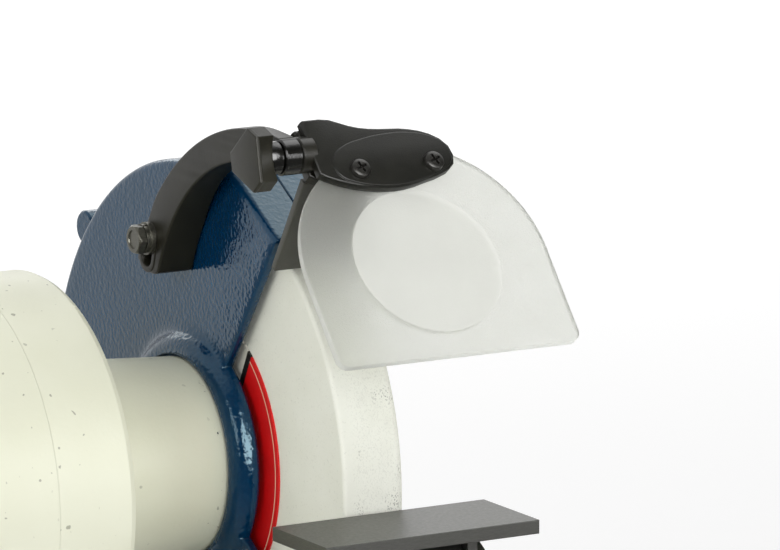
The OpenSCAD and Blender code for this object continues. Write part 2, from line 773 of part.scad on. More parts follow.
module s_rest_screw() translate([0, rest_pivot_y, rest_pivot_z]) {
  x0 = bracket_near - 0.7 - ear_t;
  x1 = rest_mid + lug_half + 0.7 + ear_t;
  bar(pivot_r, x0 - eps, x1 - x0 + 6);
  translate([x0 - 4, 0, 0]) rotate([0, 90, 0]) cylinder(r = 5 / cos(30), h = 4, $fn = 6);
  translate([x1, 0, 0]) rotate([0, 90, 0]) cylinder(r = 5 / cos(30), h = 5, $fn = 6);
}

// ---------------------------------------------------------------- base

module round_rect(l, d, r) {
  square([l - 2 * r, d], center = true);
  square([l, d - 2 * r], center = true);
  for (x = [-1, 1]) for (y = [-1, 1]) translate([x * (l / 2 - r), y * (d / 2 - r)]) circle(r = r, $fn = 64);
}

// The pedestal's tapered block; inset moves every side inwards
module pedestal(inset, z0, z1) {
  kx = (ped_x0 - ped_x1) / (ped_top - base_top);
  ky = (ped_y0 - ped_y1) / (ped_top - base_top);
  ax = ped_x0 - (z0 - base_top) * kx - inset;
  bx = ped_x0 - (z1 - base_top) * kx - inset;
  ay = ped_y0 - (z0 - base_top) * ky - inset;
  by = ped_y0 - (z1 - base_top) * ky - inset;
  intersection() {
    rotate([90, 0, 0]) linear_extrude(height = 400, center = true) polygon([[-ax, z0], [ax, z0], [bx, z1], [-bx, z1]]);
    along_x(-200, 400) polygon([[-ay, z0], [ay, z0], [by, z1], [-by, z1]]);
  }
}

module mount_holes(z0, len) for (x = [-1, 1]) for (y = [-1, 1]) translate([x * hole_x / 2, y * hole_y / 2, z0]) cylinder(r = hole_r, h = len, $fn = 48);

module at_cover_bolts() for (x = [-1, 1]) for (y = [-1, 1]) translate([x * cover_bolt_x, y * cover_bolt_y, 0]) children();

module at_feet() for (x = [-1, 1]) for (y = [-1, 1]) translate([x * hole_x / 2, y * hole_y / 2, 0]) children();

module at_saddle() for (x = [-1, 1]) for (y = [-1, 1]) translate([x * 28, y * 18, 0]) children();

module on_front_wall() translate([0, -switch_y, switch_z]) rotate([90 - ped_lean, 0, 0]) children();

module on_back_wall() translate([gland_x, gland_y, gland_z]) rotate([ped_lean - 90, 0, 0]) children();

module base_casting() color(cream) difference() {
  union() {
    translate([0, 0, base_z]) linear_extrude(height = base_t) round_rect(base_l, base_d, base_corner);
    pedestal(0, base_top - eps, ped_top);
  }
  pedestal(ped_wall, base_z - 1, saddle_z - roof_t);
  translate([0, 0, shaft_height]) bar(saddle_r, -100, 200);
  translate([-saddle_half_x - 0.5, -saddle_half_y - 0.5, saddle_z]) cube([2 * saddle_half_x + 1, 2 * saddle_half_y + 1, 40]);
  mount_holes(base_z - 1, base_t + 2);
  at_cover_bolts() translate([0, 0, base_z - 1]) cylinder(r = cover_bolt_r + fit_gap, h = base_t - 1);
  at_saddle() translate([0, 0, saddle_z - roof_t - 1]) cylinder(r = 3.2, h = roof_t + 2);
  on_front_wall() translate([-switch_w / 2 - switch_gap, -switch_d / 2 - switch_gap, -15]) cube([switch_w + 2 * switch_gap, switch_d + 2 * switch_gap, 30]);
  on_back_wall() translate([0, 0, -15]) cylinder(r = gland_r + 0.2, h = 30);
}

module base_cover() color(dark_steel) difference() {
  translate([0, 0, foot_h]) linear_extrude(height = plate_t) round_rect(base_l - 2 * plate_in, base_d - 2 * plate_in, base_corner - plate_in);
  mount_holes(foot_h - 1, plate_t + 2);
  at_cover_bolts() translate([0, 0, foot_h - 1]) cylinder(r = cover_bolt_r + 0.2, h = plate_t + 2);
}

module rubber_feet() color(rubber) at_feet() difference() {
  cylinder(r = foot_r, h = foot_h);
  translate([0, 0, -1]) cylinder(r = hole_r, h = foot_h + 2, $fn = 48);
}

module base_cover_screws() color(steel) at_cover_bolts() {
  translate([0, 0, foot_h - 2.2]) cylinder(r = 4, h = 2.2);
  translate([0, 0, foot_h - eps]) cylinder(r = cover_bolt_r, h = plate_t + base_t - 3);
}

module saddle_screws() color(steel) at_saddle() {
  translate([0, 0, saddle_z - roof_t - 4]) cylinder(r = 5, h = 4);
  translate([0, 0, saddle_z - roof_t - eps]) cylinder(r = 3, h = roof_t + 7.5);
}

module capacitor() color(dark_steel) translate([0, cap_y, base_z + cap_r]) {
  bar(cap_r, -cap_half, 2 * cap_half);
  for (y = [-6, 6]) translate([cap_half - eps, y - 3, -0.4]) cube([9, 6, 0.8]);
}

module cord_gland() color(black_plastic) on_back_wall() difference() {
  union() {
    cylinder(r = 11, h = 6, $fn = 6);
    translate([0, 0, 6 - eps]) cylinder(r1 = 9.5, r2 = 6.5, h = 7);
    translate([0, 0, -gland_deep]) cylinder(r = gland_r, h = gland_deep + eps);
    translate([0, 0, -ped_wall * 1.05 - 6]) cylinder(r = 11, h = 4, $fn = 6);
  }
  translate([0, 0, -gland_deep - 1]) cylinder(r = cord_r, h = 2 * gland_deep + 2);
}

module switch_body() color(black_plastic) on_front_wall() difference() {
  union() {
    linear_extrude(height = bezel_t) round_rect(bezel_w, bezel_d, bezel_corner);
    translate([-switch_w / 2, -switch_d / 2, -switch_deep]) cube([switch_w, switch_d, switch_deep + eps]);
  }
  for (s = [-1, 1]) translate([s * button_mid - button_w / 2 - button_gap, -button_d / 2 - button_gap, -11]) {
    cube([button_w + 2 * button_gap, button_d + 2 * button_gap, 30]);
  }
}

module start_button() color(green) on_front_wall() translate([-button_mid - button_w / 2, -button_d / 2, -6]) cube([button_w, button_d, 6 + bezel_t + 1]);

module stop_button() color(red) on_front_wall() translate([button_mid - button_w / 2, -button_d / 2, -6]) cube([button_w, button_d, 6 + bezel_t + 3]);

// ---------------------------------------------------------------- motor

module on_axis() translate([0, 0, shaft_height]) children();

module at_rods() for (a = [45, 135, 225, 315]) polar_x(rod_pcd, a) children();

module stator_housing() color(cream) on_axis() difference() {
  union() {
    bar(motor_r, -stator_half, 2 * stator_half);
    translate([-saddle_half_x, -saddle_half_y, saddle_z - shaft_height]) cube([2 * saddle_half_x, 2 * saddle_half_y, motor_r / 2]);
  }
  bar(bore_r, -core_half, stator_half + core_half + 1);
  bar(bore_r, -stator_half - 1, stator_half - core_half - 3);
  bar(bore_r - 2, -stator_half - 1, 2 * stator_half);
  translate([0, 0, -shaft_height]) at_saddle() translate([0, 0, saddle_z - 1]) cylinder(r = 3 + fit_gap, h = 9);
}

module bell(seat_end) difference() {
  union() {
    turned() polygon([
      [10, neck_solid], [neck_bore, neck_solid], [neck_bore, bell_inner], [bore_r - 2, bell_inner], [bore_r, bell_inner - 2],
      [bore_r, stator_half], [bore_r - 2.3, stator_half], [bore_r - 2.3, stator_half - 4], [bore_r - fit_gap, stator_half - 4],
      [bore_r - fit_gap, stator_half], [motor_r, stator_half], [motor_r, bell_x - 3], [motor_r - 1, bell_x - 1], [motor_r - 3, bell_x],
      [neck_root_r + 3, bell_x], [neck_root_r + 0.8, bell_x + 0.8], [neck_root_r, bell_x + 3], [neck_r, neck_end - 2], [neck_r, neck_end],
      [10, neck_end]
    ]);
    at_rods() bar(6, bell_inner - 10, 10 + eps);
  }
  bar(bearing_or + fit_gap, neck_solid - 1, seat_end - neck_solid + 1);
  for (a = [90, 210, 330]) polar_x(guard_screw_pcd, a) bar(guard_screw_r + fit_gap, neck_end - 14, 15);
}

module end_bell_right() color(cream) on_axis() difference() {
  bell(bearing_out);
  at_rods() bar(rod_r + fit_gap, bell_inner - 12, 13);
}

module end_bell_left() color(cream) on_axis() mirror([1, 0, 0]) difference() {
  bell(bearing_out + wave_t);
  at_rods() bar(rod_r + 0.2, bell_inner - 12, 20);
}

module tie_rods() color(steel) on_axis() at_rods() {
  bar(rod_r, -bell_x - eps, bell_x + bell_inner);
  bar(rod_head_r, -bell_x - rod_head_t, rod_head_t);
}

module stator_core() color(iron) on_axis() difference() {
  bar(stator_r, -core_half, 2 * core_half);
  bar(stator_bore, -core_half - 1, 2 * core_half + 2);
  core_slots(slot_w, slot_in, slot_out, core_half + 1);
  at_rods() bar(rod_r + 0.5, -core_half - 1, 2 * core_half + 2);
}

module core_slots(w, r0, r1, half) for (k = [0:slot_count - 1]) rotate([360 / slot_count * k, 0, 0]) {
  translate([-half, -w / 2, r0]) cube([2 * half, w, r1 - r0]);
}

module stator_windings() color(copper) on_axis() {
  core_slots(slot_w - 0.4, slot_in + 0.2, slot_out - 0.2, core_half + 2);
  for (s = [0, 1]) mirror([s, 0, 0]) turned() polygon([
    [slot_in + 0.5, core_half], [slot_out + 2, core_half], [slot_out + 2, coil_out - 4], [slot_out - 2, coil_out],
    [slot_in + 5, coil_out], [slot_in + 0.5, coil_out - 4]
  ]);
}

module rotor_core() color(iron) on_axis() {
  tube(rotor_r, shaft_r + fit_gap, -core_half, 2 * core_half);
  tube(rotor_r - 2, rotor_r - 10, -core_half - 5, 5 + eps);
  tube(rotor_r - 2, rotor_r - 10, core_half - eps, 5);
}

module shaft() color(steel) on_axis() {
  bar(shaft_r, -bearing_in, 2 * bearing_in);
  bar(seat_r, -wheel_x + shoulder_x, 2 * (wheel_x - shoulder_x));
  bar(shaft_end_r, -wheel_x - spindle_x, 2 * (wheel_x + spindle_x));
  bar(shaft_r + 2.5, -core_half - 4, 4);
}

module at_bearings() {
  on_axis() children();
  on_axis() mirror([1, 0, 0]) children();
}

module bearing_outer_rings() color(steel) at_bearings() turned() difference() {
  translate([16.5, bearing_in]) square([bearing_or - 16.5, bearing_w]);
  translate([ball_pitch, bearing_in + bearing_w / 2]) circle(r = race_r);
}

module bearing_inner_rings() color(steel) at_bearings() turned() difference() {
  translate([seat_r + fit_gap, bearing_in]) square([12 - seat_r - fit_gap, bearing_w]);
  translate([ball_pitch, bearing_in + bearing_w / 2]) circle(r = race_r);
}

module bearing_balls() color(steel) at_bearings() {
  tube(15.2, 13.3, bearing_in + bearing_w / 2 - 2.2, 4.4);
  for (k = [0:7]) polar_x(ball_pitch, 45 * k) translate([bearing_in + bearing_w / 2, 0, 0]) sphere(r = ball_r, $fn = 48);
}

module wave_washer() color(steel) on_axis() tube(19.5, 15, -bearing_out - wave_t, wave_t);

// ---------------------------------------------------------------- the stations' nodes

module guard_screws() color(steel) on_both() s_guard_screws();
module cover_screws() color(steel) on_both() s_cover_screws();
module deflector_screws() color(steel) on_both() s_deflector_screws();
module arm_bolts() color(steel) on_both() s_arm_bolt();
module rest_bracket_bolts() color(steel) on_both() s_bracket_bolts();
module blotters() color(label_red) on_both() s_blotters();
module inner_flanges() color(steel) on_both() s_inner_flange();
module outer_flanges() color(steel) on_both() s_outer_flange();
module guard_right() color(navy) on_right() s_guard();
module guard_left() color(navy) on_left() s_guard();
module guard_cover_right() color(navy) on_right() s_cover();
module guard_cover_left() color(navy) on_left() s_cover();
module wheel_right() color(wheel_white) on_right() s_wheel();
module wheel_left() color(wheel_white) on_left() s_wheel();
module wheel_nut_right() color(steel) on_right() s_nut();
module wheel_nut_left() color(steel) on_left() s_nut();
module spark_deflector_right() color(dark_steel) on_right() s_deflector();
module spark_deflector_left() color(dark_steel) on_left() s_deflector();
module shield_arm_right() color(arm_grey) on_right() s_arm();
module shield_arm_left() color(arm_grey) on_left() s_arm();
module arm_washers_right() color(steel) on_right() s_arm_washers();
module arm_washers_left() color(steel) on_left() s_arm_washers();
module clamp_knob_right() color(arm_grey) on_right() s_knob();
module clamp_knob_left() color(arm_grey) on_left() s_knob();
module holder_front_right() color(black_plastic) on_right() s_holder_front();
module holder_front_left() color(black_plastic) on_left() s_holder_front();
module holder_back_right() color(black_plastic) on_right() s_holder_back();
module holder_back_left() color(black_plastic) on_left() s_holder_back();
module holder_screws_right() color(steel) on_right() s_holder_screws();
module holder_screws_left() color(steel) on_left() s_holder_screws();
module eye_shield_right() color(clear_plastic) on_right() s_shield();
module eye_shield_left() color(clear_plastic) on_left() s_shield();
module rest_bracket_right() color(iron) on_right() s_bracket();
module rest_bracket_left() color(iron) on_left() s_bracket();
module tool_rest_right() color(iron) on_right() s_rest();
module tool_rest_left() color(iron) on_left() s_rest();
module rest_pivot_screw_right() color(steel) on_right() s_rest_screw();
module rest_pivot_screw_left() color(steel) on_left() s_rest_screw();

base_casting();
base_cover();
base_cover_screws();
rubber_feet();
stator_housing();
end_bell_left();
end_bell_right();
tie_rods();
saddle_screws();
stator_core();
stator_windings();
rotor_core();
shaft();
bearing_outer_rings();
bearing_inner_rings();
bearing_balls();
wave_washer();
capacitor();
cord_gland();
switch_body();
start_button();
stop_button();
guard_screws();
cover_screws();
deflector_screws();
arm_bolts();
rest_bracket_bolts();
blotters();
inner_flanges();
outer_flanges();
guard_left();
guard_right();
guard_cover_left();
guard_cover_right();
wheel_left();
wheel_right();
wheel_nut_left();
wheel_nut_right();
spark_deflector_left();
spark_deflector_right();
shield_arm_left();
shield_arm_right();
arm_washers_left();
arm_washers_right();
clamp_knob_left();
clamp_knob_right();
holder_front_left();
holder_front_right();
holder_back_left();
holder_back_right();
holder_screws_left();
holder_screws_right();
eye_shield_left();
eye_shield_right();
rest_bracket_left();
rest_bracket_right();
tool_rest_left();
tool_rest_right();
rest_pivot_screw_left();
rest_pivot_screw_right();
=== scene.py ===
"""Dressed model of a double-ended bench grinder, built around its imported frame.

The frame is in metres, with X along the spindle, -Y to the operator and Z up. Sizes here are
millimetres, as a workshop drawing gives them. Only the studio is given in metres.
"""

from __future__ import annotations

import json
import logging
import math
from dataclasses import dataclass, field
from enum import Enum
from typing import Any, Callable, Iterable, Sequence

import bmesh
import bpy
from mathutils import Matrix, Vector

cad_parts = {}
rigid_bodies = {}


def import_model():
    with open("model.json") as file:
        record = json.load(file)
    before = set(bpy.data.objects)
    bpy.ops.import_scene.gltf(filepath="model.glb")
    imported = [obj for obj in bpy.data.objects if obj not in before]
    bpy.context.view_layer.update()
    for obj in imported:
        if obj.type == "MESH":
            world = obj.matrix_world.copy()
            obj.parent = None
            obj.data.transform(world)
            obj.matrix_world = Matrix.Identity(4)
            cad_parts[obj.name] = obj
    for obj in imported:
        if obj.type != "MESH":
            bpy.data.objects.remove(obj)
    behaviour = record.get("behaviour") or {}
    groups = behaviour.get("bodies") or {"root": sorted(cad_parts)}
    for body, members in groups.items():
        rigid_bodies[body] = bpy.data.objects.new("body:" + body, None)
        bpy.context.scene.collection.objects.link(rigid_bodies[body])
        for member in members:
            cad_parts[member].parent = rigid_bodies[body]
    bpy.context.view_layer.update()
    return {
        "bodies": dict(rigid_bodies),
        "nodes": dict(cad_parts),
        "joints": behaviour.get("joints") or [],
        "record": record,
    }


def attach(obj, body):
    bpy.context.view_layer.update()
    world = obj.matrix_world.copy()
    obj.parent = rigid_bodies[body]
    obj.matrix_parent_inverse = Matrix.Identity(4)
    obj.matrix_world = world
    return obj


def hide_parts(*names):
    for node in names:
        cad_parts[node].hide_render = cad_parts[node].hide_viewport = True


LOG = logging.getLogger("grinder")
MM = 0.001
SHAFT_HEIGHT = 175.0
WHEEL_X = 150.0  # a wheel's inner face, from the machine's middle
SHIELD_TILT = 39.8  # the eye shield, from the vertical
FLAT_ANGLE = 59.0  # the flat on a guard, above the front horizontal
PIVOT_Y = -91.2  # the eye at the end of a shield arm, from the spindle
PIVOT_Z = 125.6
BOLT_Y = 3.7  # the clamp bolt of a shield arm, from the spindle
BOLT_Z = 81.2

Pair = tuple[float, float]
Triple = tuple[float, float, float]
Colour = tuple[float, float, float, float]


# ------------------------------------------------------------------ node graphs


class Value:
    """An output socket that takes part in Python arithmetic."""

    def __init__(self, graph: Graph, socket: Any) -> None:
        """Wraps a socket.

        Args:
            graph: the graph that the socket belongs to.
            socket: the output socket.
        """
        self.graph = graph
        self.socket = socket

    def call(self, operation: str, other: Any = None, swapped: bool = False) -> Value:
        """One Math node on this value.

        Args:
            operation: the node's operation.
            other: the second value, if the operation has one.
            swapped: whether the second value comes first.

        Returns:
            The node's output.
        """
        values = [self] if other is None else [self, other]
        if swapped:
            values.reverse()
        return self.graph.node("ShaderNodeMath", {"operation": operation}, dict(enumerate(values)))

    def __add__(self, other: Any) -> Value:
        """Sum."""
        return self.call("ADD", other)

    def __sub__(self, other: Any) -> Value:
        """Difference."""
        return self.call("SUBTRACT", other)

    def __rsub__(self, other: Any) -> Value:
        """Difference with a plain number first."""
        return self.call("SUBTRACT", other, True)

    def __mul__(self, other: Any) -> Value:
        """Product."""
        return self.call("MULTIPLY", other)

    def __gt__(self, other: Any) -> Value:
        """1 where this is the greater."""
        return self.call("GREATER_THAN", other)

    def __abs__(self) -> Value:
        """Absolute value."""
        return self.call("ABSOLUTE")

    __radd__ = __add__
    __rmul__ = __mul__

    def ramp(self, low: float, high: float) -> Value:
        """0 below low, 1 above high, smooth between."""
        limits = {"Value": self, "From Min": low, "From Max": high}
        return self.graph.node("ShaderNodeMapRange", {"interpolation_type": "SMOOTHSTEP"}, limits)


class Graph:
    """Adds nodes to one node tree."""

    def __init__(self, tree: bpy.types.NodeTree) -> None:
        """Wraps the tree that nodes are added to."""
        self.tree = tree

    def node(
        self,
        kind: str,
        settings: dict[str, Any] | None = None,
        inputs: dict[Any, Any] | None = None,
        output: Any = 0,
    ) -> Value:
        """Adds a node.

        Args:
            kind: the node's type.
            settings: its properties.
            inputs: a value or a link for each socket, by name or number, or a list of links for one.
            output: which output to return.

        Returns:
            The chosen output, with no socket where the node has none.
        """
        made = self.tree.nodes.new(kind)
        for name, value in (settings or {}).items():
            setattr(made, name, value)
        for key, value in (inputs or {}).items():
            for one in value if isinstance(value, list) else [value]:
                if isinstance(one, Value):
                    self.tree.links.new(one.socket, made.inputs[key])
                else:
                    made.inputs[key].default_value = one
        return Value(self, made.outputs[output] if len(made.outputs) else None)

    def place(self) -> Value:
        """Object coordinates, in metres."""
        return self.node("ShaderNodeTexCoord", output="Object")

    def split(self, vector: Value) -> list[Value]:
        """The three parts of a vector."""
        outputs = self.node("ShaderNodeSeparateXYZ", None, {0: vector}).socket.node.outputs
        return [Value(self, part) for part in outputs]

    def distance(self, a: Value, b: Value) -> Value:
        """Distance from an axis, from the two parts across it."""
        return (a * a + b * b).call("SQRT")

    def stretched(self, vector: Value, scale: Triple) -> Value:
        """A vector times a scale for each axis."""
        return self.node("ShaderNodeVectorMath", {"operation": "MULTIPLY"}, {0: vector, 1: scale})

    def noise(self, vector: Value, size: float, detail: float = 2.0, rough: float = 0.5) -> Value:
        """Soft noise from 0 to 1.

        Args:
            vector: where to read it.
            size: about how large its patches are.
            detail: octaves.
            rough: weight of the finer octaves.

        Returns:
            The noise.
        """
        inputs = {"Vector": vector, "Scale": 1.0 / (size * MM), "Detail": detail, "Roughness": rough}
        return self.node("ShaderNodeTexNoise", None, inputs)

    def mix(self, factor: Any, a: Any, b: Any) -> Value:
        """Mixes two colours."""
        return self.node("ShaderNodeMix", {"data_type": "RGBA"}, {0: factor, 6: a, 7: b}, 2)

    def rays(self, *kinds: str) -> Value:
        """1 for rays of the given kinds, 0 for all others."""
        path = self.node("ShaderNodeLightPath").socket.node.outputs
        return sum(Value(self, path[f"Is {kind} Ray"]) for kind in kinds).call("MINIMUM", 1.0)


def fresh_graph(owner: bpy.types.Material | bpy.types.World) -> Graph:
    """A graph for a material or a world, without the nodes that it starts with."""
    owner.use_nodes = True
    owner.node_tree.nodes.clear()
    return Graph(owner.node_tree)


def rgb(red: float, green: float, blue: float) -> Colour:
    """A colour from 0-255 display values, as linear light."""

    def linear(c: float) -> float:
        """One channel."""
        c /= 255.0
        return c / 12.92 if c <= 0.04045 else ((c + 0.055) / 1.055) ** 2.4

    return (linear(red), linear(green), linear(blue), 1.0)


# ------------------------------------------------------------------ finishes


@dataclass(frozen=True)
class Finish:
    """A solid finish with soft variation in colour and gloss, and a fine relief."""

    name: str
    colour: Colour
    shade: Colour
    patch: float = 8.0  # how large its patches of colour are
    gloss: float = 0.4
    spread: float = 0.05  # how far the gloss strays
    relief: float = 0.12
    relief_depth: float = 0.5
    grain: float = 0.5  # how large the relief's grains are
    edge: float = 0.4  # how far its edges look rounded
    metallic: float = 0.0
    specular: float = 0.5

    def tint(self, graph: Graph, at: Value) -> Value:
        """The colour over the surface."""
        return graph.mix(graph.noise(at, self.patch, 3.0).ramp(0.3, 0.7), self.colour, self.shade)

    def height(self, graph: Graph, at: Value) -> Value:
        """The relief over the surface, 0 to 1."""
        return graph.noise(at, self.grain)

    def strayed(self, noise: Value) -> Value:
        """The gloss, moved by a noise."""
        return self.gloss + (noise - 0.5) * (2 * self.spread)

    def sheen(self, graph: Graph, at: Value) -> Value:
        """The roughness over the surface."""
        return self.strayed(graph.noise(at, self.patch * 0.4))

    def settings(self) -> dict[str, Any]:
        """Constants of the shader."""
        return {"Metallic": self.metallic, "Specular IOR Level": self.specular}

    def make(self) -> bpy.types.Material:
        """Builds the material."""
        material = bpy.data.materials.new(self.name)
        graph = fresh_graph(material)
        at = graph.place()
        bump = {
            "Strength": self.relief,
            "Distance": self.relief_depth * MM,
            "Height": self.height(graph, at),
            "Normal": graph.node("ShaderNodeBevel", {"samples": 4}, {"Radius": self.edge * MM}),
        }
        skin = {
            "Base Color": self.tint(graph, at),
            "Roughness": self.sheen(graph, at),
            "Normal": graph.node("ShaderNodeBump", None, bump),
        }
        shader = graph.node("ShaderNodeBsdfPrincipled", None, {**skin, **self.settings()})
        graph.node("ShaderNodeOutputMaterial", None, {"Surface": shader})
        return material


@dataclass(frozen=True)
class Enamel(Finish):
    """Thick gloss paint with a slight orange peel and a few dust nibs."""

    peel: float = 1.7
    sky: Colour = (0.63, 0.92, 1.0, 1.0)

    def settings(self) -> dict[str, Any]:
        """Constants of the shader, with the cool tone of its reflections."""
        return {**Finish.settings(self), "Specular Tint": self.sky}

    def height(self, graph: Graph, at: Value) -> Value:
        """Broad dimples with a few nibs on them."""
        dimples = graph.noise(at, self.peel, 1.0, 0.4)
        nibs = graph.noise(at, self.peel * 0.35, 0.0).ramp(0.78, 0.9)
        return dimples + nibs * 0.25


@dataclass(frozen=True)
class CastPaint(Finish):
    """Satin paint over a casting, with small specks, and chips round the ends of its necks."""

    neck_end: float = 136.6  # where the necks end, from the machine's middle
    neck_low: float = 120.0  # no chips below this height
    speck: Colour = rgb(112, 112, 92)
    chip: Colour = rgb(54, 72, 66)

    def tint(self, graph: Graph, at: Value) -> Value:
        """The colour with specks and chips."""
        base = Finish.tint(self, graph, at)
        specks = graph.noise(at, 2.2, 0.0).ramp(0.79, 0.82) * graph.noise(at, 40.0, 1.0).ramp(0.45, 0.6)
        base = graph.mix(specks * 0.6, base, self.speck)
        x, _, z = graph.split(at)
        inward = abs(abs(x) - self.neck_end * MM).ramp(0.6 * MM, 2.4 * MM)
        few = graph.noise(at, 11.0, 1.0).ramp(0.5, 0.6)
        chips = graph.noise(at, 1.3).ramp(0.64, 0.68) * (1.0 - inward) * (z > self.neck_low * MM) * few
        return graph.mix(chips, base, self.chip)


@dataclass(frozen=True)
class Abrasive(Finish):
    """White bonded grit: pale body, sandy relief and grey dust on the running face."""

    rim: float = 100.0
    dust: Colour = (0.25, 0.25, 0.22, 1.0)

    def tint(self, graph: Graph, at: Value) -> Value:
        """Mottled body with dusty bands round the running face."""
        base = Finish.tint(self, graph, at)
        grit = graph.noise(at, 0.9, 1.0).ramp(0.62, 0.8)
        base = graph.mix(grit * 0.16, base, self.dust)
        x, y, z = graph.split(at)
        far = graph.distance(y, z - SHAFT_HEIGHT * MM)
        face = far.ramp((self.rim - 0.9) * MM, (self.rim - 0.25) * MM)
        middle = (abs(x) - WHEEL_X * MM).ramp(2.0 * MM, 8.5 * MM)
        patches = graph.noise(at, 16.0).ramp(0.5, 0.64)
        specks = graph.noise(graph.stretched(at, (1.4, 1.0, 1.0)), 0.75, 1.0).ramp(0.56, 0.64)
        haze = graph.noise(at, 6.0, 3.0, 0.6).ramp(0.45, 0.8)
        dust = specks * (0.12 + 0.56 * patches) + haze * 0.06
        return graph.mix(face * middle * dust, base, self.dust)

    def height(self, graph: Graph, at: Value) -> Value:
        """Coarse sand with a few pits."""
        pits = graph.noise(at, 2.5, 1.0).ramp(0.68, 0.75)
        return graph.noise(at, 0.55, 2.0, 0.7) + pits * -0.6


@dataclass(frozen=True)
class Label(Finish):
    """The paper disc on a wheel: red, a thin pale ring near its edge, a white sector between black bars."""

    line_r: float = 51.9
    line_w: float = 0.5
    sector: float = 72.0
    half_angle: float = 9.0
    half_width: float = 10.2
    bar: float = 2.9
    pale: Colour = rgb(236, 196, 170)
    black: Colour = rgb(18, 16, 16)
    white: Colour = rgb(214, 211, 200)

    def tint(self, graph: Graph, at: Value) -> Value:
        """Printed ring and bars, by distance and direction from the spindle."""
        _, y, z = graph.split(at)
        up = z - SHAFT_HEIGHT * MM
        off_line = abs(graph.distance(y, up) - self.line_r * MM)
        red = graph.mix(graph.noise(at, 6.0, 3.0).ramp(0.3, 0.7), self.colour, self.shade)
        ring = 1.0 - off_line.ramp(self.line_w * 0.4 * MM, self.line_w * 0.65 * MM)
        red = graph.mix(ring, red, self.pale)
        turn = math.radians(self.sector)
        along = y * -math.cos(turn) + up * math.sin(turn)
        aside = abs(y * math.sin(turn) + up * math.cos(turn))
        lean = math.radians(self.half_angle)
        edge = aside * math.cos(lean) - along * math.sin(lean) - (self.half_width + self.bar / 2) * MM
        ahead = along > 0.0
        soft = 0.05
        bars = (1.0 - edge.ramp(-soft * MM, soft * MM)) * ahead
        middle = (1.0 - edge.ramp(-(self.bar + soft) * MM, -(self.bar - soft) * MM)) * ahead
        return graph.mix(middle, graph.mix(bars, red, self.black), self.white)


@dataclass(frozen=True)
class Brushed(Finish):
    """Ground or plated steel with fine lines round or along the piece."""

    lines: Triple = (1.0, 1.0, 12.0)

    def tint(self, graph: Graph, at: Value) -> Value:
        """Streaks over the base tone."""
        streaks = graph.noise(graph.stretched(at, self.lines), 2.0, 3.0, 0.6)
        return graph.mix(streaks.ramp(0.25, 0.8), self.colour, self.shade)

    def sheen(self, graph: Graph, at: Value) -> Value:
        """Roughness that follows the streaks."""
        return self.strayed(graph.noise(graph.stretched(at, self.lines), 1.2))


@dataclass(frozen=True)
class Frosted(Finish):
    """Etched clear plastic: lets light through in a blur, with fine sparkle."""

    clear: float = 0.84
    index: float = 1.2

    def settings(self) -> dict[str, Any]:
        """Constants of the shader."""
        return {**Finish.settings(self), "Transmission Weight": self.clear, "IOR": self.index}


@dataclass(frozen=True)
class Copper(Finish):
    """Varnished wire laid side by side."""

    wire: float = 1.1

    def height(self, graph: Graph, at: Value) -> Value:
        """Round wires."""
        x, y, z = graph.split(at)
        return ((x + y * 0.3 + z * 0.2) * (2 * math.pi / (self.wire * MM))).call("SINE") * 0.5 + 0.5


